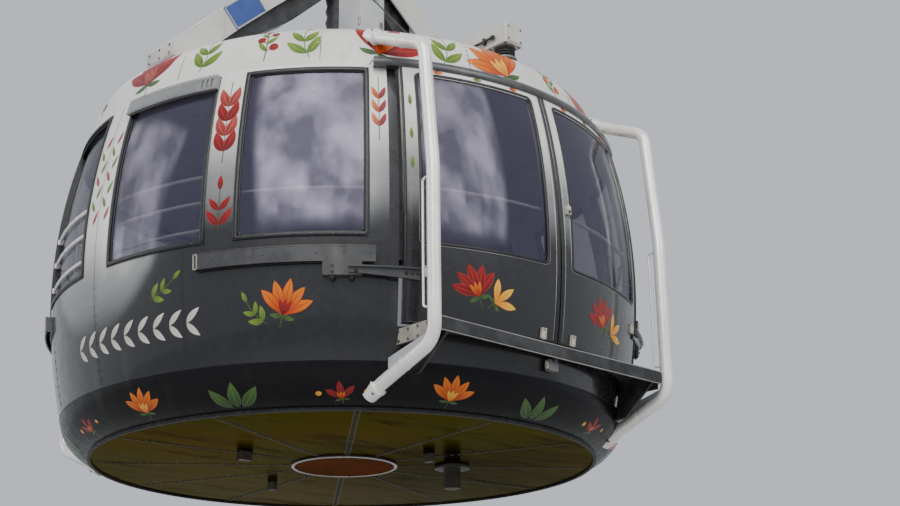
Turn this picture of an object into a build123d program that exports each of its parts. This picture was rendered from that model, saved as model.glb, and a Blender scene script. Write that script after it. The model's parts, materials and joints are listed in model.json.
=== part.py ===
from build123d import *
from math import cos, degrees, radians, sin, sqrt
import os

os.makedirs("parts", exist_ok=True)

# Round cable car cabin with its hanger and rope carriage, in millimetres.
# X is the way of travel, -Y and +Y are the doors, Z is up.
# The origin lies midway between the two track ropes, on the line where the rollers sit on them.
# Every level below is counted up from the cabin's lower seam, and bearings from -Y towards +X.

# Overall heights
PIVOT_LEVEL = 7000
ROPE_ABOVE_PIVOT = 100
SEAM_Z = -(PIVOT_LEVEL + ROPE_ABOVE_PIVOT)

# Fits, and how far a cut runs past what it cuts
SEAT = 0.3
RUNNING_FIT = 0.05
MOVING_GAP = 6
OVERCUT = 5

# Round body: its widest radius, and how far its outline draws in at the seam and at the eaves
BODY_RADIUS = 2500
BODY_LEVEL = 900
SEAM_TUCK = 130
EAVES_TUCK = 176
EAVES_LEVEL = 2340

# Roof and belly outline, as how far in from the widest radius and how far above the eaves or the seam
SHOULDER = (260, 260)
SHOULDER_MID = (350, 382)
ROOF_EDGE = (540, 444)
ROOF_SLOPE_MID = (900, 494)
ROOF_FLAT = (1400, 528)
BELLY_MID = (198, -170)
PAN_EDGE = (370, -280)

# Shell thicknesses
WALL = 55
ROOF_SKIN = 45
BELLY_SKIN = 55
PAN_SHEET = 12
RIM_WIDTH = 24
RIM_HEIGHT = 26

# Floor, and how far its turning part stays inside the widest radius
FLOOR_LEVEL = 250
FLOOR_THICK = 40
FLOOR_TUCK = 300
FLOOR_GAP = 8
FLOOR_BEAM_HEIGHT = 140
FLOOR_BEAM_WIDTH = 90
FLOOR_SPOKES = 8
BEARING_RADIUS = 420
BEARING_WIDTH = 60

# Doorways: half the door, its jamb and the leaves in front of it, in degrees and millimetres
DOOR_BEARINGS = (0, 180)
LEAF_EDGE = 30.3
LEAF_MEETING_GAP = 0.12
JAMB_GAP = 0.5
JAMB_WIDTH = 1.7
JAMB_RECESS = 10
LEAF_BACK = 5
LEAF_THICK = 50
LEAF_FOOT_GAP = 12
LEAF_HEAD_GAP = 28
MEETING_STILE = 3.0
JAMB_STILE = 2.9
DOOR_SILL = 850
DOOR_HEAD_RAIL = 67
DOOR_GLASS_RECESS = 10

# Small lamps at the foot and side of each leaf, and the lock block by the meeting edge
LAMP_SIZE = (48, 80, 20)
LAMP_RIM = 8
LAMP_WINDOW_DEPTH = 4
LEAF_LAMPS = (
    # degrees from the door's middle, height over the leaf's foot
    (3.7, 44),
    (26.5, 370),
)
LOCK_SIZE = (44, 70, 26)
LOCK_PLACE = (2.0, 1062)

# Gutter that houses the top door track
GUTTER_OVERRUN = 2.5
GUTTER_RISE = 46
GUTTER_DEPTH = 66
GUTTER_CROWN = 7
GUTTER_DRAW = 12
GUTTER_BITE = 60

# Side windows, as widths in degrees from the door's jamb to the middle of the side
DOOR_PILLAR = 3.3
FIXED_WIDTH = 23.0
MID_PILLAR = 5.3
END_PILLAR = 3.9
WINDOW_SILL = 890
WINDOW_HEAD_GAP = 30
FRAME_WIDTH = 34
FRAME_PROUD = 8
FRAME_DEPTH = 42
GLASS_THICK = 8
GLASS_RECESS = 8
BARRED_GLASS_RECESS = 34

# Vent header box over the opening window of two quarters
VENT_HEIGHT = 118
VENT_HEAD_GAP = 10
VENT_PROUD = 45
VENT_SLATS = 3
VENT_SLAT_START = 1.0
VENT_SLAT_PITCH = 1.0
VENT_SLAT_WIDTH = 0.35
VENT_SLAT_DEPTH = 12
VENT_SLAT_MARGIN = 19

# Handrails that show through the glass
RAIL_RADIUS = 14
RAIL_SIDES = 8
RAIL_STAND_OFF = 40
SIDE_RAIL_LEVEL = 1300
DOOR_RAIL_LEVEL = 1310
GUARD_RAIL_LEVELS = (1040, 1260, 1470)
GUARD_RAIL_RECESS = 15
POST_RADIUS = 10
RAIL_OVERRUN = 1.2
RAIL_POST_INSET = 0.5

# Door carrier rail outside the wall, its trolley and the cast arm that holds the leaf
CARRIER_START = 2.3
CARRIER_LENGTH = 30.7
CARRIER_DROP = 80
CARRIER_HEIGHT = 120
CARRIER_PROUD = 50
CARRIER_WEB = 9
CARRIER_END = 0.4
TROLLEY_START = 2.2
TROLLEY_LENGTH = 6.4
TROLLEY_HEIGHT = 104.7
TROLLEY_PROUD = 58
ARM_LAP = 2.7
ARM_RISE = 63
ARM_HEIGHT = 86
ARM_TAPER = 40
ARM_THICK = 16
ARM_FLANGE = (40, 12)

# Guide tubes beside each doorway
TUBE_RADIUS = 50
TUBE_INSET = 10
TUBE_ROOT = 55
TUBE_TOP_RISE = 302
TUBE_FOOT_LEVEL = -205
TUBE_SOCKET = (68, 112)
TUBE_BENDS = (
    # in from the widest radius, level, bend radius
    (88, EAVES_LEVEL + 12, 150),
    (0, 1350, 1400),
    (0, 60, 170),
)
BOW_RADIUS = 9
BOW_OFFSET = 112
BOW_LEVELS = (310, 1280)
BOW_BEND = 30

# Step outside each door
STEP_SIDE_GAP = 15
STEP_DROP = 5
STEP_HEIGHT = 100
STEP_PLATE = 30
STEP_LIP = 26
STEP_ROOT = 800
END_PLATE_DROP = 33
END_PLATE_RISE = 5
END_PLATE_THICK = 14
END_PLATE_SETBACK = 50
GUSSET_INSET = 85
GUSSET_THICK = 22
GUSSET_TOE = 320
GUSSET_ROOT = 900
GUSSET_LOW = -95

# Roof beam across the doors and its rubber mounts
BEAM_TUCK = 370
BEAM_WIDTH = 200
BEAM_CLEAR = 17
BEAM_HEIGHT = 175
BEAM_CORNER = 14
MOUNT_RADIUS = 76
MOUNT_WAIST = 12
BEAM_MOUNT_INSET = 110
LEG_MOUNT_INSET = 100
SADDLE = (560, 300, 26)

# Inclined hanger legs along the travel axis, open underneath between their ribs
LEG_TUCK = 470
LEG_TIP_DROP = 38
LEG_TIP_HEIGHT = 140
LEG_TIP_PAD = 200
LEG_SOFFIT_BOW = 38
LEG_SOFFIT_END = 4290
LEG_TOP_END = 4700
LEG_WIDTH = 400
LEG_PLATE = 18
LEG_TIP_WALL = 330
LEG_MAST_WALL = 60
LEG_BAYS = 4
LEG_RIB = 14

# Mast of the hanger
MAST_FOOT = (500, 400)
MAST_FOOT_LEVELS = (4250, 4820)
MAST_FLANGE = (60, 40)
MAST_TOP = (330, 300)
MAST_TOP_LEVEL = 6560
HEAD_RADIUS = 215
PIN_RADIUS = 70
PIN_CAP = (105, 20)
SLEEVE_OFFSET = 165
SLEEVE_RADIUS = 82
SLEEVE_FOLDS = 10
SLEEVE_FOLD_DEPTH = 14

# Cabinet, hatch and blank plate
CABINET_SIZE = (300, 260, 1000)
CABINET_PLACE = (-430, -690)
CABINET_FOOT = 40
CABINET_FOOT_INSET = 30
HATCH_SIDE = 480
HATCH_PLACE = (520, 520)
HATCH_CURB = 50
HATCH_LID = (12, 24)
HATCH_CORNER = 40
PLATE_SIZE = (420, 226)
PLATE_THICK = 8
PLATE_CENTRE = (-1330, 3492)
PLATE_TILT = 43

# Fittings under the pan
COVER_RADIUS = 450
COVER_DROP = 12
PAN_LUGS = (
    # bearing, radius, width
    (-94, 990, 110),
    (180, 1010, 80),
    (14, 860, 80),
)
PAN_LUG_SHAPE = 0.6
PAN_LUG_DROP = 70
DRAIN_PLACE = (740, -550)
DRAIN_RADIUS = 75
DRAIN_DROP = 190
DRAIN_FLANGE = (150, 22)

# Carriage on the two track ropes
ROPE_GAUGE = 750
CHEEK_GAP = 8
CHEEK_THICK = 30
CHEEK_HALF = 1560
CHEEK_END_LEVELS = (-60, 200)
CHEEK_MID_REACH = 330
CHEEK_MID_HALF = 420
CHEEK_SLOT = (420, 110)
CHEEK_SLOT_INSET = 590
CHEEK_SLOT_LEVEL = -60
TIE_RADIUS = 45
TIE_END_INSET = 240
TIE_INNER_INSET = 940
TIE_LEVEL = 30
ROLLER_RADIUS = 170
ROLLER_WIDTH = 92
ROLLER_BORE = 30
ROLLER_HUB = 58
ROLLER_WEB = 40
ROLLER_RIM = 52
GROOVE_DEPTH = 30
GROOVE_MOUTH = 72
GROOVE_FLOOR = 28
ROCKER_INSET = 520
ROLLER_SPACING = 640
ROCKER_GAP = 38
ROCKER_THICK = 32
ROCKER_BAR = 148
ROCKER_END_RADIUS = 92
ROCKER_BOSS = 110
ROCKER_STUB = 66
AXLE_COLLAR = 52
AXLE_CAP = 14
LUG_BORE = 36
LUG_REACH = 140
LUG_HEAD = 90
LUG_THICK = 60

# Outline radii and levels that follow from the sizes above
SEAM_RADIUS = BODY_RADIUS - SEAM_TUCK
EAVES_RADIUS = BODY_RADIUS - EAVES_TUCK
PAN_RADIUS = BODY_RADIUS - PAN_EDGE[0]
PAN_LEVEL = PAN_EDGE[1]
ROOF_LEVEL = EAVES_LEVEL + ROOF_FLAT[1]
FLOOR_RADIUS = BODY_RADIUS - FLOOR_TUCK

# Door and window edges that follow, as bearings from the door's middle and levels
JAMB_INNER = LEAF_EDGE + JAMB_GAP
JAMB_OUTER = JAMB_INNER + JAMB_WIDTH
LEAF_FACE = LEAF_BACK + LEAF_THICK
LEAF_LEVELS = (FLOOR_LEVEL + LEAF_FOOT_GAP, EAVES_LEVEL - LEAF_HEAD_GAP)
DOOR_GLASS_EDGES = (MEETING_STILE, LEAF_EDGE - JAMB_STILE)
DOOR_GLASS_LEVELS = (DOOR_SILL, LEAF_LEVELS[1] - DOOR_HEAD_RAIL)
FIXED_WINDOW = (JAMB_OUTER + DOOR_PILLAR, JAMB_OUTER + DOOR_PILLAR + FIXED_WIDTH)
OPENING_WINDOW = (FIXED_WINDOW[1] + MID_PILLAR, 90 - END_PILLAR)
WINDOW_LEVELS = (WINDOW_SILL, EAVES_LEVEL - WINDOW_HEAD_GAP)
FRAME_EDGE = degrees(FRAME_WIDTH / BODY_RADIUS)
PANE_LEVELS = (WINDOW_LEVELS[0] + FRAME_WIDTH, WINDOW_LEVELS[1] - FRAME_WIDTH)
VENT_TOP = WINDOW_LEVELS[1] - VENT_HEAD_GAP
CARRIER_TOP = WINDOW_SILL - CARRIER_DROP
CARRIER_LEVELS = (CARRIER_TOP - CARRIER_HEIGHT, CARRIER_TOP)
CARRIER_SPAN = (JAMB_OUTER + CARRIER_START, JAMB_OUTER + CARRIER_START + CARRIER_LENGTH)
TROLLEY_LEVELS = (CARRIER_LEVELS[0] - SEAT - TROLLEY_HEIGHT, CARRIER_LEVELS[0] - SEAT)
TROLLEY_SPAN = (CARRIER_SPAN[0] + TROLLEY_START, CARRIER_SPAN[0] + TROLLEY_START + TROLLEY_LENGTH)
ARM_LEVELS = (TROLLEY_LEVELS[0] + ARM_RISE - ARM_HEIGHT, TROLLEY_LEVELS[0] + ARM_RISE)

# Tubes, steps, beam and legs that follow
TUBE_OFFSET = BODY_RADIUS * sin(radians(JAMB_INNER)) - TUBE_INSET
STEP_HALF = TUBE_OFFSET - TUBE_RADIUS - STEP_SIDE_GAP
STEP_LEVELS = (FLOOR_LEVEL - STEP_DROP - STEP_HEIGHT, FLOOR_LEVEL - STEP_DROP)
BEAM_TIP = BODY_RADIUS - BEAM_TUCK
BEAM_LEVELS = (ROOF_LEVEL + BEAM_CLEAR, ROOF_LEVEL + BEAM_CLEAR + BEAM_HEIGHT)
LEG_TIP = BODY_RADIUS - LEG_TUCK
LEG_TIP_LEVELS = (ROOF_LEVEL - LEG_TIP_DROP, ROOF_LEVEL - LEG_TIP_DROP + LEG_TIP_HEIGHT)
LEG_ROOT = MAST_FOOT[0] / 2

# Carriage places that follow
CHEEK_INNER = MAST_TOP[1] / 2 + CHEEK_GAP
CHEEK_OUTER = CHEEK_INNER + CHEEK_THICK
ROCKER_PLACE = CHEEK_HALF - ROCKER_INSET
TIE_END = CHEEK_HALF - TIE_END_INSET
TIE_INNER = CHEEK_HALF - TIE_INNER_INSET
LUG_END = CHEEK_HALF + LUG_REACH
ROCKER_INNER = CHEEK_OUTER + ROCKER_GAP
AXLE_Z = ROLLER_RADIUS - GROOVE_DEPTH


def up(level):
    """Height in the model of a level counted from the cabin's lower seam."""
    return SEAM_Z + level


def circle_through(a, b, c):
    """Centre and radius of the circle through three points of a section."""
    ax, ay = a
    bx, by = b
    cx, cy = c
    d = 2 * (ax * (by - cy) + bx * (cy - ay) + cx * (ay - by))
    ux = ((ax**2 + ay**2) * (by - cy) + (bx**2 + by**2) * (cy - ay) + (cx**2 + cy**2) * (ay - by)) / d
    uy = ((ax**2 + ay**2) * (cx - bx) + (bx**2 + by**2) * (ax - cx) + (cx**2 + cy**2) * (bx - ax)) / d
    return ux, uy, sqrt((ax - ux) ** 2 + (ay - uy) ** 2)


WALL_CENTRE_R, WALL_CENTRE_LEVEL, WALL_ARC = circle_through(
    (SEAM_RADIUS, 0), (BODY_RADIUS, BODY_LEVEL), (EAVES_RADIUS, EAVES_LEVEL)
)


def wall_radius(level, proud=0):
    """Radius of the wall's outer face at a level, or of a face that stands proud of it."""
    return WALL_CENTRE_R + sqrt((WALL_ARC + proud) ** 2 - (level - WALL_CENTRE_LEVEL) ** 2)


def outline(point, inset=0, drop=0):
    """Radius and height of a point of the roof or belly outline, moved in and down."""
    tuck, level = point
    return BODY_RADIUS - tuck - inset, up(level - drop)


def roof_point(point, inset=0, drop=0):
    """The same for a point whose level is counted from the eaves."""
    return outline((point[0], EAVES_LEVEL + point[1]), inset, drop)


def radial(bearing):
    """Upright plane through the axis, with its x direction out along a bearing."""
    turn = radians(bearing - 90)
    return Plane(origin=(0, 0, 0), x_dir=(cos(turn), sin(turn), 0), z_dir=(sin(turn), -cos(turn), 0))


def upright(x, y):
    """Upright plane that faces -Y, with its origin on the line x, y."""
    return Plane(origin=(x, y, 0), x_dir=(1, 0, 0), z_dir=(0, -1, 0))


def spot(bearing, radius, level):
    """Point at a bearing, radius and level."""
    turn = radians(bearing - 90)
    return (radius * cos(turn), radius * sin(turn), up(level))


def span(door, side, first, last):
    """Start and end bearing of a stretch counted from a door towards one side."""
    if side > 0:
        return door + first, door + last
    return door - last, door - first


def wall_sector(inner, outer, low, high, start, end, mode=Mode.ADD):
    """Curved slab between two faces parallel to the wall, two levels and two bearings."""
    middle = (low + high) / 2
    with BuildSketch(radial(start)) as section:
        with BuildLine():
            ThreePointArc(
                (wall_radius(low, outer), up(low)),
                (wall_radius(middle, outer), up(middle)),
                (wall_radius(high, outer), up(high)),
            )
            Line((wall_radius(high, outer), up(high)), (wall_radius(high, inner), up(high)))
            ThreePointArc(
                (wall_radius(high, inner), up(high)),
                (wall_radius(middle, inner), up(middle)),
                (wall_radius(low, inner), up(low)),
            )
            Line((wall_radius(low, inner), up(low)), (wall_radius(low, outer), up(low)))
        make_face()
    revolve(section.sketch, axis=Axis.Z, revolution_arc=end - start, mode=mode)


def ring(inner, outer, low, high, mode=Mode.ADD):
    """Plain ring about the axis between two radii and two levels."""
    with BuildSketch(Plane.XY.offset(up(low))) as section:
        Circle(outer)
        if inner > 0:
            Circle(inner, mode=Mode.SUBTRACT)
    extrude(section.sketch, amount=high - low, mode=mode)


def roof_section(proud=0):
    """Half section of the roof, with its outer face moved out by an amount."""
    foot = (EAVES_RADIUS + proud, up(EAVES_LEVEL))
    shoulder, shoulder_mid, edge = (roof_point(p, -proud) for p in (SHOULDER, SHOULDER_MID, ROOF_EDGE))
    slope_mid, flat = (roof_point(p, 0, -proud) for p in (ROOF_SLOPE_MID, ROOF_FLAT))
    Line((0, foot[1]), foot)
    Line(foot, shoulder)
    ThreePointArc(shoulder, shoulder_mid, edge)
    ThreePointArc(edge, slope_mid, flat)
    Line(flat, (0, flat[1]))
    Line((0, flat[1]), (0, foot[1]))


def roof_lining():
    """Half section of the space under the roof skin, with plain slopes."""
    foot = (EAVES_RADIUS - ROOF_SKIN, up(EAVES_LEVEL))
    shoulder = roof_point(SHOULDER, ROOF_SKIN)
    edge = roof_point(ROOF_EDGE, ROOF_SKIN, ROOF_SKIN)
    flat = roof_point(ROOF_FLAT, 0, ROOF_SKIN)
    Polyline((0, foot[1]), foot, shoulder, edge, flat, (0, flat[1]), (0, foot[1]))


def belly_section(proud=0):
    """Half section of the belly bowl, with its outer face moved out by an amount."""
    foot = outline(PAN_EDGE, -proud)
    Line((0, up(0)), (SEAM_RADIUS + proud, up(0)))
    ThreePointArc((SEAM_RADIUS + proud, up(0)), outline(BELLY_MID, -proud), foot)
    Line(foot, (0, foot[1]))
    Line((0, foot[1]), (0, up(0)))


def belly_lining():
    """Half section of the space inside the belly bowl, with a plain slope."""
    rim = (SEAM_RADIUS - BELLY_SKIN, up(0))
    middle = outline(BELLY_MID, BELLY_SKIN)
    foot = outline(PAN_EDGE, BELLY_SKIN)
    Polyline((0, rim[1]), rim, middle, foot, (0, foot[1]), (0, rim[1]))


def save(part, name):
    """Label a finished piece and write it."""
    part.label = name
    export_step(part, f"parts/{name}.step")


# Outer form of the whole body, a hair larger, that trims what is seated on it
with BuildPart() as body_form:
    with BuildSketch(Plane.XZ):
        with BuildLine():
            roof_section(SEAT)
        make_face()
    revolve(axis=Axis.Z)
    with BuildSketch(Plane.XZ):
        with BuildLine():
            belly_section(SEAT)
        make_face()
    revolve(axis=Axis.Z)
    wall_sector(-4 * WALL, SEAT, 0, EAVES_LEVEL, 0, 360)
    ring(0, SEAM_RADIUS - 2 * WALL, 0, EAVES_LEVEL)


# Roof shell
with BuildPart() as roof_shell:
    with BuildSketch(Plane.XZ):
        with BuildLine():
            roof_section()
        make_face()
        with BuildLine():
            roof_lining()
        make_face(mode=Mode.SUBTRACT)
    revolve(axis=Axis.Z)
save(roof_shell.part, "roof_shell")

# Belly bowl under the lower seam
with BuildPart() as belly_shell:
    with BuildSketch(Plane.XZ):
        with BuildLine():
            belly_section()
        make_face()
        with BuildLine():
            belly_lining()
        make_face(mode=Mode.SUBTRACT)
    revolve(axis=Axis.Z)
save(belly_shell.part, "belly_shell")

# Bottom pan and the dark rim around it
with BuildPart() as pan:
    ring(0, PAN_RADIUS - RIM_WIDTH, PAN_LEVEL - PAN_SHEET, PAN_LEVEL)
save(pan.part, "pan")

with BuildPart() as pan_rim:
    ring(PAN_RADIUS - RIM_WIDTH, PAN_RADIUS, PAN_LEVEL - RIM_HEIGHT, PAN_LEVEL)
save(pan_rim.part, "pan_rim")

# Four side panels, each from a door jamb to the seam between the doors
QUARTERS = (
    # name, door bearing, side, whether the opening window has bars or a vent header
    ("side_panel_front_right", 0, 1, "bars"),
    ("side_panel_front_left", 0, -1, "vent"),
    ("side_panel_rear_right", 180, -1, "vent"),
    ("side_panel_rear_left", 180, 1, "bars"),
)
for name, door, side, style in QUARTERS:
    with BuildPart() as side_panel:
        wall_sector(-WALL, 0, 0, EAVES_LEVEL, *span(door, side, JAMB_OUTER, 90))
        for window in (FIXED_WINDOW, OPENING_WINDOW):
            window_ends = span(door, side, *window)
            wall_sector(-WALL - OVERCUT, OVERCUT, *WINDOW_LEVELS, *window_ends, mode=Mode.SUBTRACT)
    save(side_panel.part, name)


def pane_span(door, side, window):
    """Bearings of the pane inside a window's frame."""
    return span(door, side, window[0] + FRAME_EDGE, window[1] - FRAME_EDGE)


# Frames and panes of the side windows
with BuildPart() as window_frames:
    for name, door, side, style in QUARTERS:
        for window in (FIXED_WINDOW, OPENING_WINDOW):
            wall_sector(-FRAME_DEPTH, FRAME_PROUD, *WINDOW_LEVELS, *span(door, side, *window))
            wall_sector(
                -FRAME_DEPTH - OVERCUT,
                FRAME_PROUD + OVERCUT,
                *PANE_LEVELS,
                *pane_span(door, side, window),
                mode=Mode.SUBTRACT,
            )
save(window_frames.part, "window_frames")

with BuildPart() as window_glass:
    for name, door, side, style in QUARTERS:
        for window in (FIXED_WINDOW, OPENING_WINDOW):
            barred = style == "bars" and window == OPENING_WINDOW
            face = -BARRED_GLASS_RECESS if barred else -GLASS_RECESS
            wall_sector(face - GLASS_THICK, face, *PANE_LEVELS, *pane_span(door, side, window))
save(window_glass.part, "window_glass")

# Jambs and lower wall of each doorway
for name, door in (("door_portal_front", 0), ("door_portal_rear", 180)):
    with BuildPart() as door_portal:
        for side in (-1, 1):
            wall_sector(-WALL, -JAMB_RECESS, 0, EAVES_LEVEL, *span(door, side, JAMB_INNER, JAMB_OUTER))
        wall_sector(-WALL, -JAMB_RECESS, 0, FLOOR_LEVEL, door - JAMB_INNER, door + JAMB_INNER)
    save(door_portal.part, name)

# Door leaves, which stand proud of the wall
LEAVES = (
    # name, door bearing, side
    ("door_leaf_front_right", 0, 1),
    ("door_leaf_front_left", 0, -1),
    ("door_leaf_rear_right", 180, -1),
    ("door_leaf_rear_left", 180, 1),
)
for name, door, side in LEAVES:
    with BuildPart() as door_leaf:
        wall_sector(LEAF_BACK, LEAF_FACE, *LEAF_LEVELS, *span(door, side, LEAF_MEETING_GAP, LEAF_EDGE))
        wall_sector(
            LEAF_BACK - OVERCUT,
            LEAF_FACE + OVERCUT,
            *DOOR_GLASS_LEVELS,
            *span(door, side, *DOOR_GLASS_EDGES),
            mode=Mode.SUBTRACT,
        )
    save(door_leaf.part, name)

with BuildPart() as door_glass:
    pane_face = LEAF_FACE - DOOR_GLASS_RECESS
    for name, door, side in LEAVES:
        pane_ends = span(door, side, *DOOR_GLASS_EDGES)
        wall_sector(pane_face - GLASS_THICK, pane_face, *DOOR_GLASS_LEVELS, *pane_ends)
save(door_glass.part, "door_glass")


def leaf_block(bearing, rise, width, height, back, face, mode=Mode.ADD):
    """Block in front of a leaf, between two distances out from the leaf's outer face."""
    half_turn = degrees(width / 2 / BODY_RADIUS)
    low = LEAF_LEVELS[0] + rise - height / 2
    ends = (bearing - half_turn, bearing + half_turn)
    wall_sector(LEAF_FACE + back, LEAF_FACE + face, low, low + height, *ends, mode=mode)


# Lamps on the leaves, each with a shallow window, and the lock blocks
lamp_width, lamp_height, lamp_thick = LAMP_SIZE
lamp_window = (lamp_width - 2 * LAMP_RIM, lamp_height - 2 * LAMP_RIM)
window_cut = (lamp_thick - LAMP_WINDOW_DEPTH, lamp_thick + OVERCUT)
with BuildPart() as door_lamps:
    for name, door, side in LEAVES:
        for turn, rise in LEAF_LAMPS:
            leaf_block(door + side * turn, rise, lamp_width, lamp_height, SEAT, lamp_thick)
            leaf_block(door + side * turn, rise, *lamp_window, *window_cut, mode=Mode.SUBTRACT)
save(door_lamps.part, "door_lamps")

lock_width, lock_height, lock_thick = LOCK_SIZE
lock_turn, lock_rise = LOCK_PLACE
with BuildPart() as door_locks:
    for door in DOOR_BEARINGS:
        leaf_block(door + lock_turn, lock_rise, lock_width, lock_height, SEAT, lock_thick)
save(door_locks.part, "door_locks")

# Half-round gutter over each doorway
gutter_low = LEAF_LEVELS[1]
gutter_top = EAVES_LEVEL + GUTTER_RISE
gutter_inner = wall_radius(gutter_low) + SEAT
gutter_outer = gutter_inner + GUTTER_DEPTH
gutter_reach = JAMB_OUTER + GUTTER_OVERRUN
gutter_lip = (gutter_outer - GUTTER_DRAW, up(gutter_top))
gutter_bite = (gutter_inner - GUTTER_BITE, up(gutter_top))
with BuildPart() as door_gutters:
    for door in DOOR_BEARINGS:
        with BuildSketch(radial(door - gutter_reach)):
            with BuildLine():
                Line((gutter_inner, up(gutter_low)), (gutter_outer, up(gutter_low)))
                ThreePointArc(
                    (gutter_outer, up(gutter_low)),
                    (gutter_outer + GUTTER_CROWN, up((gutter_low + gutter_top) / 2)),
                    gutter_lip,
                )
                Polyline(gutter_lip, gutter_bite, (gutter_inner, up(gutter_low)))
            make_face()
        revolve(axis=Axis.Z, revolution_arc=2 * gutter_reach)
    add(body_form.part, mode=Mode.SUBTRACT)
save(door_gutters.part, "door_gutters")

# Vent header boxes with slats at the door end
with BuildPart() as vent_headers:
    for name, door, side, style in QUARTERS:
        if style == "bars":
            continue
        vent_ends = span(door, side, *OPENING_WINDOW)
        wall_sector(FRAME_PROUD, VENT_PROUD, VENT_TOP - VENT_HEIGHT, VENT_TOP, *vent_ends)
        for slat in range(VENT_SLATS):
            slat_start = OPENING_WINDOW[0] + VENT_SLAT_START + slat * VENT_SLAT_PITCH
            wall_sector(
                VENT_PROUD - VENT_SLAT_DEPTH,
                VENT_PROUD + OVERCUT,
                VENT_TOP - VENT_HEIGHT + VENT_SLAT_MARGIN,
                VENT_TOP - VENT_SLAT_MARGIN,
                *span(door, side, slat_start, slat_start + VENT_SLAT_WIDTH),
                mode=Mode.SUBTRACT,
            )
save(vent_headers.part, "vent_headers")


def rail_arc(level, radius, start, end):
    """Rail of eight flats that follows the wall between two bearings."""
    with BuildSketch(radial(start)) as section:
        with Locations((radius, up(level))):
            RegularPolygon(RAIL_RADIUS, RAIL_SIDES)
    revolve(section.sketch, axis=Axis.Z, revolution_arc=end - start)


def inner_rail(level, wall_face, start, end):
    """Handrail inside the cabin, on a short post at each end that reaches the wall's inner face."""
    rail_r = wall_radius(level, wall_face - RAIL_STAND_OFF)
    lean = POST_RADIUS * abs(level - WALL_CENTRE_LEVEL) / (WALL_ARC - WALL)
    rail_arc(level, rail_r, start, end)
    for bearing in (start + RAIL_POST_INSET, end - RAIL_POST_INSET):
        with BuildSketch(Plane(origin=spot(bearing, rail_r, level), z_dir=radial(bearing).x_dir)) as section:
            Circle(POST_RADIUS)
        extrude(section.sketch, amount=wall_radius(level, wall_face) - 2 * SEAT - lean - rail_r)


def overrun(window):
    """A window's bearings with the rail's overrun at both ends."""
    return window[0] - RAIL_OVERRUN, window[1] + RAIL_OVERRUN


# Handrails behind the glass, and bars across the windows that open
with BuildPart() as handrails:
    for name, door, side, style in QUARTERS:
        inner_rail(SIDE_RAIL_LEVEL, -WALL, *span(door, side, *overrun(FIXED_WINDOW)))
        for level in GUARD_RAIL_LEVELS:
            if style == "bars":
                bar_ends = pane_span(door, side, OPENING_WINDOW)
                rail_arc(level, wall_radius(level, -GUARD_RAIL_RECESS), *bar_ends)
            else:
                inner_rail(level, -WALL, *span(door, side, *overrun(OPENING_WINDOW)))
    for name, door, side in LEAVES:
        inner_rail(DOOR_RAIL_LEVEL, LEAF_BACK, *span(door, side, *overrun(DOOR_GLASS_EDGES)))
save(handrails.part, "handrails")

# Turning floor, the fixed edge around it and the frame that carries both
with BuildPart() as turning_floor:
    ring(0, FLOOR_RADIUS, FLOOR_LEVEL - FLOOR_THICK, FLOOR_LEVEL)
save(turning_floor.part, "turning_floor")

with BuildPart() as floor_edge:
    wall_sector(-4 * WALL, -WALL - SEAT, FLOOR_LEVEL - FLOOR_THICK, FLOOR_LEVEL, 0, 360)
    ring(0, FLOOR_RADIUS + FLOOR_GAP, FLOOR_LEVEL - FLOOR_THICK, FLOOR_LEVEL, mode=Mode.SUBTRACT)
save(floor_edge.part, "floor_edge")

frame_reach = wall_radius(0, -WALL - SEAT)
bearing_top = FLOOR_LEVEL - FLOOR_THICK - SEAT
with BuildPart() as floor_frame:
    with BuildSketch(Plane.XY.offset(up(0))):
        Circle(frame_reach)
        Circle(frame_reach - FLOOR_BEAM_WIDTH, mode=Mode.SUBTRACT)
        Circle(BEARING_RADIUS)
        with PolarLocations(frame_reach / 2, FLOOR_SPOKES):
            Rectangle(frame_reach - FLOOR_BEAM_WIDTH, FLOOR_BEAM_WIDTH)
        Circle(BEARING_RADIUS - BEARING_WIDTH, mode=Mode.SUBTRACT)
    extrude(amount=FLOOR_BEAM_HEIGHT)
    ring(BEARING_RADIUS - BEARING_WIDTH, BEARING_RADIUS, FLOOR_BEAM_HEIGHT, bearing_top)
save(floor_frame.part, "floor_frame")

# Carrier rails of the doors, each a channel that opens downwards, with a blank end
with BuildPart() as carrier_rails:
    for name, door, side, style in QUARTERS:
        wall_sector(SEAT, CARRIER_PROUD, *CARRIER_LEVELS, *span(door, side, *CARRIER_SPAN))
        wall_sector(
            SEAT + CARRIER_WEB,
            CARRIER_PROUD - CARRIER_WEB,
            CARRIER_LEVELS[0] - OVERCUT,
            CARRIER_LEVELS[1] - CARRIER_WEB,
            *span(door, side, CARRIER_SPAN[0] - CARRIER_END, CARRIER_SPAN[1] - CARRIER_END),
            mode=Mode.SUBTRACT,
        )
save(carrier_rails.part, "carrier_rails")


def cast_arm(door, side):
    """Arm from a trolley to its leaf: a web that deepens towards the leaf, under a flange."""
    ends = span(door, side, LEAF_EDGE - ARM_LAP, TROLLEY_SPAN[0] + TROLLEY_START)
    middle = (ends[0] + ends[1]) / 2
    half = BODY_RADIUS * sin(radians(ends[1] - ends[0]) / 2) + ARM_THICK
    low = up(ARM_LEVELS[0])
    flange_out, flange_thick = ARM_FLANGE
    flange_levels = (ARM_LEVELS[1] - flange_thick, ARM_LEVELS[1])
    with BuildPart() as arm:
        wall_sector(LEAF_FACE + SEAT, LEAF_FACE + ARM_THICK, *ARM_LEVELS, *ends)
        with BuildSketch(Plane(origin=(0, 0, 0), x_dir=(-radial(middle).z_dir), z_dir=radial(middle).x_dir)):
            Polygon((-side * half, low), (side * half, low), (side * half, low + ARM_TAPER), align=None)
        extrude(amount=2 * BODY_RADIUS, mode=Mode.SUBTRACT)
        wall_sector(LEAF_FACE + SEAT, LEAF_FACE + flange_out, *flange_levels, *ends)
    return arm.part


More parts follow.
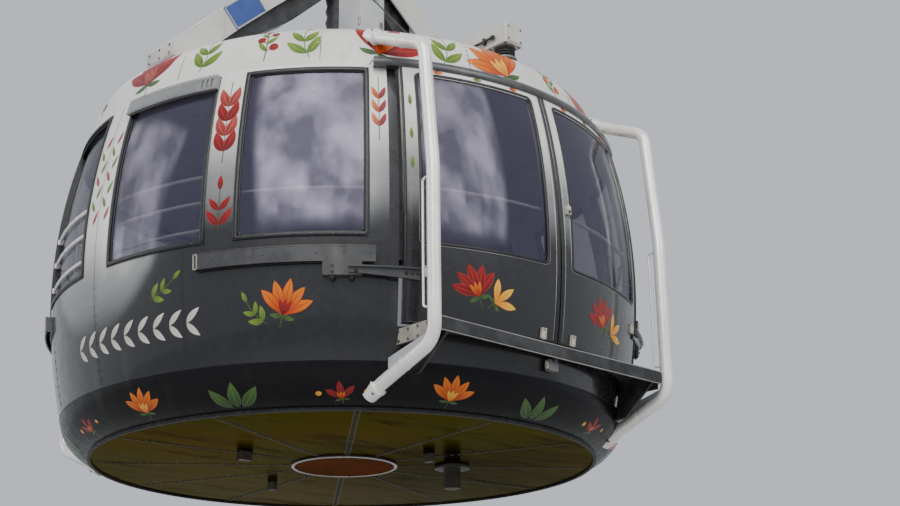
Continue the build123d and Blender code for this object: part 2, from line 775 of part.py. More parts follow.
# Trolley blocks under the rails, with the cast arms that hold the leaves
arms = [cast_arm(door, side) for name, door, side, style in QUARTERS]
with BuildPart() as door_carriers:
    for name, door, side, style in QUARTERS:
        wall_sector(SEAT, TROLLEY_PROUD, *TROLLEY_LEVELS, *span(door, side, *TROLLEY_SPAN))
    add(arms)
save(door_carriers.part, "door_carriers")


def side_reach(radius, offset):
    """How far along Y a circle of a radius reaches at an offset along X."""
    return sqrt(radius**2 - offset**2)


# Guide tubes with their end sockets and thin bows
TUBES = (
    # name, side along X, door side along Y
    ("guide_tube_front_right", 1, -1),
    ("guide_tube_front_left", -1, -1),
    ("guide_tube_rear_right", 1, 1),
    ("guide_tube_rear_left", -1, 1),
)
tube_head = (side_reach(BODY_RADIUS - SHOULDER[0], TUBE_OFFSET) - TUBE_ROOT, EAVES_LEVEL + TUBE_TOP_RISE)
tube_foot = (side_reach(BODY_RADIUS - BELLY_MID[0], TUBE_OFFSET) - 2 * TUBE_ROOT, TUBE_FOOT_LEVEL)
tube_bends = [(BODY_RADIUS - tuck, level) for tuck, level, bend in TUBE_BENDS]
tube_out = tube_bends[-1][0]
bow_out = tube_out - BOW_OFFSET
bow_low, bow_top = BOW_LEVELS
bow_corners = ((tube_out, bow_low), (bow_out, bow_low), (bow_out, bow_top), (tube_out, bow_top))
for name, side, way in TUBES:
    offset = side * TUBE_OFFSET
    route = [(offset, way * out, up(level)) for out, level in (tube_head, *tube_bends, tube_foot)]
    bow_route = [(offset, way * out, up(level)) for out, level in bow_corners]
    with BuildPart() as guide_tube:
        with BuildLine() as tube_path:
            FilletPolyline(*route, radius=[bend for tuck, level, bend in TUBE_BENDS])
        with BuildSketch(Plane(origin=tube_path.line @ 0, z_dir=tube_path.line % 0)):
            Circle(TUBE_RADIUS)
        sweep()
        for end, way_in in ((0, 1), (1, -1)):
            with BuildSketch(Plane(origin=tube_path.line @ end, z_dir=(tube_path.line % end) * way_in)):
                Circle(TUBE_SOCKET[0])
            extrude(amount=TUBE_SOCKET[1])
        with BuildLine() as bow_path:
            FilletPolyline(*bow_route, radius=BOW_BEND)
        with BuildSketch(Plane(origin=bow_path.line @ 0, z_dir=bow_path.line % 0)):
            Circle(BOW_RADIUS)
        sweep()
        add(body_form.part, mode=Mode.SUBTRACT)
    save(guide_tube.part, name)

# Steps outside the doors
step_root = BODY_RADIUS - STEP_ROOT
gusset_root = BODY_RADIUS - GUSSET_ROOT
gusset_toe = BODY_RADIUS - GUSSET_TOE
plate_edge = BODY_RADIUS - END_PLATE_SETBACK
plate_low = STEP_LEVELS[0] - END_PLATE_DROP
plate_top = STEP_LEVELS[1] - END_PLATE_RISE
for name, way in (("door_step_front", -1), ("door_step_rear", 1)):
    with BuildPart() as door_step:
        with BuildSketch(Plane.XY.offset(up(STEP_LEVELS[0]))):
            with Locations((0, way * BODY_RADIUS / 2)):
                Rectangle(2 * STEP_HALF, BODY_RADIUS)
        extrude(amount=STEP_HEIGHT)
        with BuildSketch(Plane.XY.offset(up(STEP_LEVELS[0] - OVERCUT))):
            with Locations((0, way * (BODY_RADIUS - STEP_LIP) / 2)):
                Rectangle(2 * (STEP_HALF - STEP_LIP), BODY_RADIUS - STEP_LIP)
        extrude(amount=STEP_HEIGHT + OVERCUT - STEP_PLATE, mode=Mode.SUBTRACT)
        for gusset in (-1, 0, 1):
            with BuildSketch(Plane.YZ.offset(gusset * (STEP_HALF - GUSSET_INSET) - GUSSET_THICK / 2)):
                Polygon(
                    (way * (BODY_RADIUS - STEP_LIP), up(STEP_LEVELS[0])),
                    (way * (BODY_RADIUS - STEP_LIP), up(STEP_LEVELS[1] - STEP_PLATE)),
                    (way * gusset_root, up(STEP_LEVELS[1] - STEP_PLATE)),
                    (way * gusset_root, up(GUSSET_LOW)),
                    (way * gusset_toe, up(GUSSET_LOW)),
                    align=None,
                )
            extrude(amount=GUSSET_THICK)
        for side in (-1, 1):
            plate_middle = side * (STEP_HALF + END_PLATE_THICK / 2)
            with BuildSketch(Plane.YZ.offset(plate_middle - END_PLATE_THICK / 2)):
                Polygon(
                    (way * plate_edge, up(plate_low)),
                    (way * plate_edge, up(plate_top)),
                    (way * step_root, up(plate_top)),
                    (way * step_root, up(plate_low)),
                    align=None,
                )
            extrude(amount=END_PLATE_THICK)
        add(body_form.part, mode=Mode.SUBTRACT)
    save(door_step.part, name)

# Roof beam over the doors, and the rubber mounts under it and under the legs
with BuildPart() as roof_beam:
    with BuildSketch(Plane.XY.offset(up(BEAM_LEVELS[0]))):
        RectangleRounded(BEAM_WIDTH, 2 * BEAM_TIP, BEAM_CORNER)
    extrude(amount=BEAM_HEIGHT)
    with BuildSketch(Plane.XY.offset(up(BEAM_LEVELS[1]))):
        Rectangle(SADDLE[0], SADDLE[1])
    extrude(amount=SADDLE[2])
save(roof_beam.part, "roof_beam")

MOUNTS = (
    # place along X, place along Y, level of the top
    (0, BEAM_TIP - BEAM_MOUNT_INSET, BEAM_LEVELS[0]),
    (0, BEAM_MOUNT_INSET - BEAM_TIP, BEAM_LEVELS[0]),
    (LEG_TIP - LEG_MOUNT_INSET, 0, LEG_TIP_LEVELS[0]),
    (LEG_MOUNT_INSET - LEG_TIP, 0, LEG_TIP_LEVELS[0]),
)
mount_low = EAVES_LEVEL + SHOULDER[1]
with BuildPart() as roof_mounts:
    for across, lengthwise, top in MOUNTS:
        waist = (MOUNT_RADIUS - MOUNT_WAIST, up((top + ROOF_LEVEL - BEAM_CLEAR - LEG_TIP_DROP) / 2))
        with BuildSketch(upright(across, lengthwise)) as section:
            with BuildLine():
                Polyline((0, up(mount_low)), (MOUNT_RADIUS, up(mount_low)), waist)
                Polyline(waist, (MOUNT_RADIUS, up(top)), (0, up(top)))
                Line((0, up(top)), (0, up(mount_low)))
            make_face()
        revolve(section.sketch, axis=Axis((across, lengthwise, 0), (0, 0, 1)))
    add(body_form.part, mode=Mode.SUBTRACT)
save(roof_mounts.part, "roof_mounts")


def leg_top(reach):
    """Level of a leg's upper face at a reach from the axis."""
    share = (reach - LEG_ROOT) / (LEG_TIP - LEG_ROOT)
    return LEG_TOP_END + (LEG_TIP_LEVELS[1] - LEG_TOP_END) * share


def leg_soffit(reach):
    """Level of the straight line under a leg's bowed soffit at a reach from the axis."""
    share = (reach - LEG_ROOT) / (LEG_TIP - LEG_TIP_PAD - LEG_ROOT)
    return LEG_SOFFIT_END + (LEG_TIP_LEVELS[0] - LEG_SOFFIT_END) * share


# Inclined legs of the hanger, with ribs across their open underside
soffit_reach = LEG_TIP - LEG_TIP_PAD
soffit_length = sqrt((soffit_reach - LEG_ROOT) ** 2 + (LEG_SOFFIT_END - LEG_TIP_LEVELS[0]) ** 2)
soffit_mid = (
    (soffit_reach + LEG_ROOT) / 2 + LEG_SOFFIT_BOW * (LEG_SOFFIT_END - LEG_TIP_LEVELS[0]) / soffit_length,
    (LEG_SOFFIT_END + LEG_TIP_LEVELS[0]) / 2 + LEG_SOFFIT_BOW * (soffit_reach - LEG_ROOT) / soffit_length,
)
leg_slope = (LEG_TOP_END - LEG_TIP_LEVELS[1]) / (LEG_TIP - LEG_ROOT)
top_skin = LEG_PLATE * sqrt(1 + leg_slope**2)
bay_start = LEG_ROOT + LEG_MAST_WALL
bay_pitch = (LEG_TIP - LEG_TIP_WALL - bay_start) / LEG_BAYS
for name, side in (("hanger_leg_fore", 1), ("hanger_leg_aft", -1)):
    with BuildPart() as hanger_leg:
        with BuildSketch(Plane.XZ.offset(-LEG_WIDTH / 2)):
            with BuildLine():
                Line((side * LEG_TIP, up(LEG_TIP_LEVELS[0])), (side * LEG_TIP, up(LEG_TIP_LEVELS[1])))
                Line((side * LEG_TIP, up(LEG_TIP_LEVELS[1])), (side * LEG_ROOT, up(LEG_TOP_END)))
                Line((side * LEG_ROOT, up(LEG_TOP_END)), (side * LEG_ROOT, up(LEG_SOFFIT_END)))
                ThreePointArc(
                    (side * LEG_ROOT, up(LEG_SOFFIT_END)),
                    (side * soffit_mid[0], up(soffit_mid[1])),
                    (side * soffit_reach, up(LEG_TIP_LEVELS[0])),
                )
                Line((side * soffit_reach, up(LEG_TIP_LEVELS[0])), (side * LEG_TIP, up(LEG_TIP_LEVELS[0])))
            make_face()
        extrude(amount=LEG_WIDTH)
        for bay in range(LEG_BAYS):
            near = bay_start + bay * bay_pitch + LEG_RIB / 2
            far = near + bay_pitch - LEG_RIB
            near_top, far_top = (leg_top(reach) - top_skin for reach in (near, far))
            near_low, far_low = (leg_soffit(reach) for reach in (near, far))
            with BuildSketch(Plane.XZ.offset(LEG_PLATE - LEG_WIDTH / 2)):
                Polygon(
                    (side * near, up(near_top)),
                    (side * far, up(far_top)),
                    (side * far, up(far_low - LEG_WIDTH)),
                    (side * near, up(near_low - LEG_WIDTH)),
                    align=None,
                )
            extrude(amount=LEG_WIDTH - 2 * LEG_PLATE, mode=Mode.SUBTRACT)
    save(hanger_leg.part, name)

# Mast with a bolting flange over its foot and the eye at its head
flange_rim, flange_thick = MAST_FLANGE
with BuildPart() as mast:
    with BuildSketch(Plane.XY.offset(up(MAST_FOOT_LEVELS[0]))):
        Rectangle(*MAST_FOOT)
    extrude(amount=MAST_FOOT_LEVELS[1] - MAST_FOOT_LEVELS[0])
    with BuildSketch(Plane.XY.offset(up(MAST_FOOT_LEVELS[1] - flange_thick))):
        Rectangle(MAST_FOOT[0] + 2 * flange_rim, MAST_FOOT[1] + 2 * flange_rim)
    extrude(amount=2 * flange_thick)
    with BuildSketch(Plane.XY.offset(up(MAST_FOOT_LEVELS[1]))):
        Rectangle(*MAST_FOOT)
    with BuildSketch(Plane.XY.offset(up(MAST_TOP_LEVEL))):
        Rectangle(*MAST_TOP)
    loft()
    with BuildSketch(Plane.XZ.offset(-MAST_TOP[1] / 2)):
        with Locations((0, up(PIVOT_LEVEL))):
            Circle(HEAD_RADIUS)
        with Locations((0, up((PIVOT_LEVEL + MAST_TOP_LEVEL) / 2))):
            Rectangle(MAST_TOP[0], PIVOT_LEVEL - MAST_TOP_LEVEL)
    extrude(amount=MAST_TOP[1])
    with BuildSketch(Plane.XZ.offset(-MAST_TOP[1])):
        with Locations((0, up(PIVOT_LEVEL))):
            Circle(PIN_RADIUS + RUNNING_FIT)
    extrude(amount=2 * MAST_TOP[1], mode=Mode.SUBTRACT)
save(mast.part, "mast")

# Folded sleeves over the two damper struts between the beam's saddle and the mast
sleeve_low = BEAM_LEVELS[1] + SADDLE[2]
sleeve_top = MAST_FOOT_LEVELS[0]
fold = (sleeve_top - sleeve_low) / SLEEVE_FOLDS
sleeve_edge = [(SLEEVE_RADIUS, up(sleeve_low))]
for index in range(SLEEVE_FOLDS):
    fold_low = sleeve_low + index * fold
    sleeve_edge.append((SLEEVE_RADIUS + SLEEVE_FOLD_DEPTH, up(fold_low + fold / 2)))
    sleeve_edge.append((SLEEVE_RADIUS, up(fold_low + fold)))
with BuildPart() as damper_sleeves:
    for side in (-1, 1):
        with BuildSketch(upright(side * SLEEVE_OFFSET, 0)) as section:
            with BuildLine():
                Polyline((0, up(sleeve_low)), *sleeve_edge, (0, up(sleeve_top)), (0, up(sleeve_low)))
            make_face()
        revolve(section.sketch, axis=Axis((side * SLEEVE_OFFSET, 0, 0), (0, 0, 1)))
save(damper_sleeves.part, "damper_sleeves")

# Cabinet and hatch on the roof
with BuildPart() as roof_cabinet:
    with BuildSketch(Plane.XY.offset(up(ROOF_LEVEL + CABINET_FOOT))):
        with Locations(CABINET_PLACE):
            Rectangle(CABINET_SIZE[0], CABINET_SIZE[1])
    extrude(amount=CABINET_SIZE[2])
    with BuildSketch(Plane.XY.offset(up(ROOF_LEVEL))):
        with Locations(CABINET_PLACE):
            Rectangle(CABINET_SIZE[0] - 2 * CABINET_FOOT_INSET, CABINET_SIZE[1] - 2 * CABINET_FOOT_INSET)
    extrude(amount=CABINET_FOOT)
save(roof_cabinet.part, "roof_cabinet")

lid_lip, lid_thick = HATCH_LID
with BuildPart() as roof_hatch:
    with BuildSketch(Plane.XY.offset(up(ROOF_LEVEL))):
        with Locations(HATCH_PLACE):
            RectangleRounded(HATCH_SIDE, HATCH_SIDE, HATCH_CORNER)
    extrude(amount=HATCH_CURB)
    with BuildSketch(Plane.XY.offset(up(ROOF_LEVEL + HATCH_CURB))):
        with Locations(HATCH_PLACE):
            RectangleRounded(HATCH_SIDE + 2 * lid_lip, HATCH_SIDE + 2 * lid_lip, HATCH_CORNER + lid_lip)
    extrude(amount=lid_thick)
save(roof_hatch.part, "roof_hatch")

# Blank plate on the aft leg
with BuildPart() as blank_plate:
    plate_plane = Plane(
        origin=(PLATE_CENTRE[0], -LEG_WIDTH / 2, up(PLATE_CENTRE[1])),
        x_dir=(cos(radians(PLATE_TILT)), 0, sin(radians(PLATE_TILT))),
        z_dir=(0, -1, 0),
    )
    with BuildSketch(plate_plane):
        RectangleRounded(*PLATE_SIZE, PLATE_THICK)
    extrude(amount=PLATE_THICK)
save(blank_plate.part, "blank_plate")

# Cover, lugs and drain outlet under the pan
pan_face = PAN_LEVEL - PAN_SHEET
with BuildPart() as pan_fittings:
    with BuildSketch(Plane.XY.offset(up(pan_face - COVER_DROP))):
        Circle(COVER_RADIUS)
    extrude(amount=COVER_DROP)
    for bearing, radius, width in PAN_LUGS:
        x, y, z = spot(bearing, radius, 0)
        with BuildSketch(Plane(origin=(x, y, up(pan_face - PAN_LUG_DROP)), x_dir=radial(bearing).x_dir)):
            Rectangle(width, width * PAN_LUG_SHAPE)
        extrude(amount=PAN_LUG_DROP)
    with BuildSketch(Plane.XY.offset(up(pan_face - DRAIN_FLANGE[1]))):
        with Locations(DRAIN_PLACE):
            Circle(DRAIN_FLANGE[0])
    extrude(amount=DRAIN_FLANGE[1])
    with BuildSketch(Plane.XY.offset(up(pan_face - DRAIN_DROP))):
        with Locations(DRAIN_PLACE):
            RegularPolygon(DRAIN_RADIUS, 6)
    extrude(amount=DRAIN_DROP)
save(pan_fittings.part, "pan_fittings")

# Cheek plates of the carriage, with a lightening slot near each end
pivot_z = up(PIVOT_LEVEL)
for name, way in (("carriage_cheek_right", -1), ("carriage_cheek_left", 1)):
    with BuildPart() as carriage_cheek:
        with BuildSketch(Plane.XZ.offset(-way * CHEEK_INNER)):
            Polygon(
                (-CHEEK_HALF, CHEEK_END_LEVELS[0]),
                (-CHEEK_MID_HALF, pivot_z - CHEEK_MID_REACH),
                (CHEEK_MID_HALF, pivot_z - CHEEK_MID_REACH),
                (CHEEK_HALF, CHEEK_END_LEVELS[0]),
                (CHEEK_HALF, CHEEK_END_LEVELS[1]),
                (CHEEK_MID_HALF, pivot_z + CHEEK_MID_REACH),
                (-CHEEK_MID_HALF, pivot_z + CHEEK_MID_REACH),
                (-CHEEK_HALF, CHEEK_END_LEVELS[1]),
                align=None,
            )
            with Locations((0, pivot_z)):
                Circle(PIN_RADIUS + SEAT, mode=Mode.SUBTRACT)
            for end in (-1, 1):
                with Locations((end * (CHEEK_HALF - CHEEK_SLOT_INSET), CHEEK_SLOT_LEVEL)):
                    SlotOverall(*CHEEK_SLOT, mode=Mode.SUBTRACT)
        extrude(amount=-way * CHEEK_THICK)
    save(carriage_cheek.part, name)

# Ties between the cheeks, the outer ones with the lugs for the haul rope
with BuildPart() as carriage_ties:
    for place in (-TIE_END, -TIE_INNER, TIE_INNER, TIE_END):
        with BuildSketch(Plane.XZ.offset(-CHEEK_INNER)):
            with Locations((place, TIE_LEVEL)):
                Circle(TIE_RADIUS)
        extrude(amount=2 * CHEEK_INNER)
    for end in (-1, 1):
        with BuildSketch(Plane.XZ.offset(-LUG_THICK / 2)):
            with Locations((end * LUG_END, TIE_LEVEL)):
                Circle(LUG_HEAD)
            with Locations((end * (LUG_END + TIE_END) / 2, TIE_LEVEL)):
                Rectangle(LUG_END - TIE_END, 2 * TIE_RADIUS)
        extrude(amount=LUG_THICK)
        with BuildSketch(Plane.XZ.offset(-LUG_THICK)):
            with Locations((end * LUG_END, TIE_LEVEL)):
                Circle(LUG_BORE)
        extrude(amount=2 * LUG_THICK, mode=Mode.SUBTRACT)
save(carriage_ties.part, "carriage_ties")

# Pin that the hanger swings on, with a cap outside each cheek
with BuildPart() as pivot_pin:
    with BuildSketch(Plane.XZ.offset(-CHEEK_OUTER)):
        with Locations((0, pivot_z)):
            Circle(PIN_RADIUS)
    extrude(amount=2 * CHEEK_OUTER)
    for way in (-1, 1):
        with BuildSketch(Plane.XZ.offset(-way * CHEEK_OUTER)):
            with Locations((0, pivot_z)):
                Circle(PIN_CAP[0])
        extrude(amount=-way * PIN_CAP[1])
save(pivot_pin.part, "pivot_pin")

# Rockers that carry two rollers each
ROCKERS = (
    # name, end along X, side along Y
    ("rocker_fore_right", 1, -1),
    ("rocker_fore_left", 1, 1),
    ("rocker_aft_right", -1, -1),
    ("rocker_aft_left", -1, 1),
)
roller_face = ROLLER_WIDTH / 2 + MOVING_GAP
collar_length = ROPE_GAUGE / 2 - roller_face - ROCKER_INNER - ROCKER_THICK
axle_length = ROPE_GAUGE / 2 + roller_face - ROCKER_INNER - ROCKER_THICK
for name, end, side in ROCKERS:
    middle = end * ROCKER_PLACE
    axles = (middle - ROLLER_SPACING / 2, middle + ROLLER_SPACING / 2)
    inner_plane = Plane.XZ.offset(-side * ROCKER_INNER)
    outer_plane = Plane.XZ.offset(-side * (ROCKER_INNER + ROCKER_THICK))
    cap_plane = Plane.XZ.offset(-side * (ROPE_GAUGE / 2 + roller_face))
    with BuildPart() as rocker:
        with BuildSketch(inner_plane):
            for place in axles:
                with Locations((place, AXLE_Z)):
                    Circle(ROCKER_END_RADIUS)
            with Locations((middle, AXLE_Z)):
                Rectangle(ROLLER_SPACING, ROCKER_BAR)
                Circle(ROCKER_BOSS)
        extrude(amount=-side * ROCKER_THICK)
        with BuildSketch(inner_plane):
            with Locations((middle, AXLE_Z)):
                Circle(ROCKER_STUB)
        extrude(amount=side * ROCKER_GAP)
        for place in axles:
            for plane, radius, length in (
                (outer_plane, AXLE_COLLAR, collar_length),
                (outer_plane, ROLLER_BORE, axle_length),
                (cap_plane, AXLE_COLLAR, AXLE_CAP),
            ):
                with BuildSketch(plane):
                    with Locations((place, AXLE_Z)):
                        Circle(radius)
                extrude(amount=-side * length)
    save(rocker.part, name)

# Grooved rollers, each with a hub, a web and a rim
half = ROLLER_WIDTH / 2
rim_inner = ROLLER_RADIUS - ROLLER_RIM
roller_edge = (
    # place across the roller, radius
    (half, ROLLER_BORE + RUNNING_FIT),
    (half, ROLLER_HUB),
    (ROLLER_WEB / 2, ROLLER_HUB),
    (ROLLER_WEB / 2, rim_inner),
    (half, rim_inner),
    (half, ROLLER_RADIUS),
    (GROOVE_MOUTH / 2, ROLLER_RADIUS),
    (GROOVE_FLOOR / 2, ROLLER_RADIUS - GROOVE_DEPTH),
)
roller_far_edge = [(-across, radius) for across, radius in reversed(roller_edge)]
roller_outline = [*roller_edge, *roller_far_edge, roller_edge[0]]
for end_name, end in (("fore", 1), ("aft", -1)):
    for place_name, place in (("outer", 1), ("inner", -1)):
        for side_name, side in (("right", -1), ("left", 1)):
            reach = end * (ROCKER_PLACE + place * ROLLER_SPACING / 2)
            centre = (reach, side * ROPE_GAUGE / 2, AXLE_Z)
            with BuildPart() as roller:
                with BuildSketch(Plane(origin=centre, x_dir=(0, 1, 0), z_dir=(1, 0, 0))):
                    with BuildLine():
                        Polyline(*roller_outline)
                    make_face()
                revolve(axis=Axis(centre, (0, 1, 0)))
            save(roller.part, f"roller_{end_name}_{place_name}_{side_name}")
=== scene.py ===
import json
from math import asin, atan2, ceil, cos, degrees, hypot, pi, radians, sin, sqrt

import bmesh
import bpy
from mathutils import Matrix, Vector


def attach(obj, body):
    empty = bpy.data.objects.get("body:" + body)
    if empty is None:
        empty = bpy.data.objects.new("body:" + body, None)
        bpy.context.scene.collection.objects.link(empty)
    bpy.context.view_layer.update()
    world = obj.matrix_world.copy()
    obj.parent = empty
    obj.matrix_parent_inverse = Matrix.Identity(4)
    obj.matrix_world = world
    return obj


# Looks of a round cable car cabin with its hanger and rope carriage, in metres.
# Levels are counted up from the cabin's lower seam, and bearings from -Y towards +X.
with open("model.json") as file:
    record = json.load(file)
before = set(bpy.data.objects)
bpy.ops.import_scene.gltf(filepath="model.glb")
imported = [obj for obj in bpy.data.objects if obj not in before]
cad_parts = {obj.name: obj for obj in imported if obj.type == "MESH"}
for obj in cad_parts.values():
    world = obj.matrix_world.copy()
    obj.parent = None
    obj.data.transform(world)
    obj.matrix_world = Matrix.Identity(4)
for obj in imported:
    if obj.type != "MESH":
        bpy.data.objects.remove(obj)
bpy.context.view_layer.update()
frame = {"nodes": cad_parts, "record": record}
NODES = frame["nodes"]

# Body form, the same as the solids have
SEAM_Z = -7.1
SEAM = (2.370, 0.0)
WIDEST = (2.500, 0.900)
EAVES = (2.324, 2.340)
SHOULDER = (2.240, 2.600)
SHOULDER_MID = (2.150, 2.722)
ROOF_EDGE = (1.960, 2.784)
ROOF_SLOPE_MID = (1.600, 2.834)
ROOF_FLAT = (1.100, 2.868)
BELLY_MID = (2.302, -0.170)
PAN_EDGE = (2.130, -0.280)
PAN_FACE = -0.292
LEAF_PROUD = 0.055


UP = Vector((0, 0, 1))
ACROSS = Vector((1, 0, 0))
LENGTHWISE = Vector((0, 1, 0))


def up(level):
    """Height in the model of a level counted from the lower seam."""
    return SEAM_Z + level


def at(x, y, level):
    """Point from its place in plan and its level."""
    return Vector((x, y, up(level)))


def circle_through(a, b, c):
    """Centre and radius of the circle through three points of a section."""
    (ax, ay), (bx, by), (cx, cy) = a, b, c
    d = 2 * (ax * (by - cy) + bx * (cy - ay) + cx * (ay - by))
    sa, sb, sc = ax * ax + ay * ay, bx * bx + by * by, cx * cx + cy * cy
    ux = (sa * (by - cy) + sb * (cy - ay) + sc * (ay - by)) / d
    uy = (sa * (cx - bx) + sb * (ax - cx) + sc * (bx - ax)) / d
    return ux, uy, sqrt((ax - ux) ** 2 + (ay - uy) ** 2)


def arc_points(a, b, c, count=24):
    """Points along the arc from a through b to c."""
    ux, uy, radius = circle_through(a, b, c)
    start, middle, end = (atan2(y - uy, x - ux) for x, y in (a, b, c))
    while abs(middle - start) > pi:
        middle += 2 * pi if middle < start else -2 * pi
    while abs(end - middle) > pi:
        end += 2 * pi if end < middle else -2 * pi
    steps = (start + (end - start) * i / count for i in range(count + 1))
    return [(ux + radius * cos(t), uy + radius * sin(t)) for t in steps]


WALL_R, WALL_LEVEL, WALL_ARC = circle_through(SEAM, WIDEST, EAVES)


def outward(bearing):
    """Level unit vector out from the axis."""
    turn = radians(bearing - 90)
    return Vector((cos(turn), sin(turn), 0))


def along(bearing):
    """Level unit vector along the wall, towards larger bearings."""
    turn = radians(bearing - 90)
    return Vector((-sin(turn), cos(turn), 0))


def wall(bearing, level, proud=0.0):
    """Point on the wall and its normal."""
    lean = asin((level - WALL_LEVEL) / WALL_ARC)
    radius = WALL_R + (WALL_ARC + proud) * cos(lean)
    height = up(WALL_LEVEL + (WALL_ARC + proud) * sin(lean))
    out = outward(bearing)
    return out * radius + UP * height, out * cos(lean) + UP * sin(lean)


class Profile:
    """Section of a body of revolution, read by the distance along it."""

    def __init__(self, points):
        self.points = points
        self.reach = [0.0]
        for (r0, z0), (r1, z1) in zip(points, points[1:]):
            self.reach.append(self.reach[-1] + sqrt((r1 - r0) ** 2 + (z1 - z0) ** 2))

    def at(self, bearing, distance, proud=0.0):
        """Point at a distance along the section and its normal, on the left of the way along it."""
        index = 0
        while index < len(self.reach) - 2 and self.reach[index + 1] < distance:
            index += 1
        (r0, z0), (r1, z1) = self.points[index], self.points[index + 1]
        length = self.reach[index + 1] - self.reach[index]
        share = (distance - self.reach[index]) / length
        normal_r, normal_z = (z1 - z0) / length, -(r1 - r0) / length
        radius = r0 + (r1 - r0) * share + normal_r * proud
        height = up(z0 + (z1 - z0) * share + normal_z * proud)
        out = outward(bearing)
        return out * radius + UP * height, out * normal_r + UP * normal_z


ROOF_SHOULDER = arc_points(SHOULDER, SHOULDER_MID, ROOF_EDGE)
ROOF = Profile([EAVES] + ROOF_SHOULDER + arc_points(ROOF_EDGE, ROOF_SLOPE_MID, ROOF_FLAT)[1:])
BELLY = Profile(arc_points(PAN_EDGE, BELLY_MID, SEAM))


# Camera at the photograph's viewing angle, near the floor
CAMERA_PLACE = Vector((-8.060, -9.778, -9.844))
CAMERA_VIEW = Vector((0.6528, 0.6840, 0.3255)).normalized()
CAMERA_ROLL = radians(-0.73)
CAMERA_LENS = 60
SENSOR = 36
FLOOR_Z = -9.9


def placed(name, data):
    """A new object, linked into the scene."""
    made = bpy.data.objects.new(name, data)
    bpy.context.scene.collection.objects.link(made)
    return made


def camera():
    """The scene's camera, from its place, its view and its roll."""
    data = bpy.data.cameras.new("camera")
    data.lens = CAMERA_LENS
    data.sensor_width = SENSOR
    data.clip_end = 200
    cam = placed("camera", data)
    level_right = CAMERA_VIEW.cross(UP).normalized()
    level_up = level_right.cross(CAMERA_VIEW)
    right = cos(CAMERA_ROLL) * level_right + sin(CAMERA_ROLL) * level_up
    upward = cos(CAMERA_ROLL) * level_up - sin(CAMERA_ROLL) * level_right
    turn = Matrix((right, upward, -CAMERA_VIEW)).transposed().to_4x4()
    cam.matrix_world = Matrix.Translation(CAMERA_PLACE) @ turn
    bpy.context.scene.camera = cam


camera()


def link(source, target):
    """Join two sockets of one node tree."""
    target.id_data.links.new(source, target)


class Nodes:
    """A node tree, the place that its textures read, and short ways to add its nodes."""

    def __init__(self, owner, kind, socket):
        owner.use_nodes = True
        self.tree = owner.node_tree
        self.place = self.add(kind).outputs[socket]

    def add(self, kind, **settings):
        """Add a node with its properties."""
        made = self.tree.nodes.new(kind)
        for key, value in settings.items():
            setattr(made, key, value)
        return made

    def feed(self, made, values):
        """Give a node's inputs plain values or links."""
        for key, value in values.items():
            if isinstance(value, bpy.types.NodeSocket):
                link(value, made.inputs[key])
            else:
                made.inputs[key].default_value = value
        return made

    def stretch(self, scale):
        """The place, scaled by axis."""
        made = self.add("ShaderNodeMapping")
        return self.feed(made, {"Vector": self.place, "Scale": scale}).outputs["Vector"]

    def noise(self, scale, detail=4.0, rough=0.55, place=None):
        """Noise value from 0 to 1."""
        made = self.add("ShaderNodeTexNoise")
        values = {"Vector": place or self.place, "Scale": scale, "Detail": detail, "Roughness": rough}
        return self.feed(made, values).outputs["Fac"]

    def grade(self, value, low, high, to_low=0.0, to_high=1.0, kind="SMOOTHSTEP"):
        """Map a value's range to another, held at its ends."""
        made = self.add("ShaderNodeMapRange", interpolation_type=kind)
        values = {"Value": value, "From Min": low, "From Max": high, "To Min": to_low, "To Max": to_high}
        return self.feed(made, values).outputs["Result"]

    def math(self, operation, first, second=0.0):
        """One arithmetic step."""
        made = self.add("ShaderNodeMath", operation=operation)
        return self.feed(made, {0: first, 1: second}).outputs[0]

    def mix(self, share, first, second):
        """Mix two colours."""
        made = self.add("ShaderNodeMix", data_type="RGBA")
        colours = (c if isinstance(c, bpy.types.NodeSocket) else (*c, 1) for c in (first, second))
        return self.feed(made, dict(zip((0, 6, 7), (share, *colours)))).outputs[2]

    def axis(self, name):
        """One coordinate of the place."""
        return self.feed(self.add("ShaderNodeSeparateXYZ"), {0: self.place}).outputs[name]


class Finish(Nodes):
    """A procedural material."""

    def __init__(self, name, rough=0.4, metal=0.0, coat=0.0, coat_rough=0.05, ior=1.5, alpha=1.0):
        self.material = bpy.data.materials.new(name)
        super().__init__(self.material, "ShaderNodeTexCoord", "Object")
        self.shader = self.tree.nodes["Principled BSDF"]
        self.set("Roughness", rough)
        self.set("Metallic", metal)
        self.set("Coat Weight", coat)
        self.set("Coat Roughness", coat_rough)
        self.set("IOR", ior)
        self.set("Alpha", alpha)

    def set(self, socket, value):
        """Give one of the shader's sockets a plain value."""
        self.shader.inputs[socket].default_value = value

    def colour(self, value):
        """Drive the base colour."""
        link(value, self.shader.inputs["Base Color"])

    def roughen(self, value):
        """Drive the roughness."""
        link(value, self.shader.inputs["Roughness"])

    def bump(self, height, strength=0.2, distance=0.001):
        """Raise the surface by a height map."""
        made = self.feed(
            self.add("ShaderNodeBump"), {"Height": height, "Strength": strength, "Distance": distance}
        )
        link(made.outputs[0], self.shader.inputs["Normal"])
        return self


CHARCOAL = (0.010, 0.010, 0.012)
WORN_CHARCOAL = (0.017, 0.016, 0.018)
GREY = (0.20, 0.20, 0.20)
WHITE = (0.72, 0.70, 0.66)
DUST = (0.20, 0.18, 0.15)


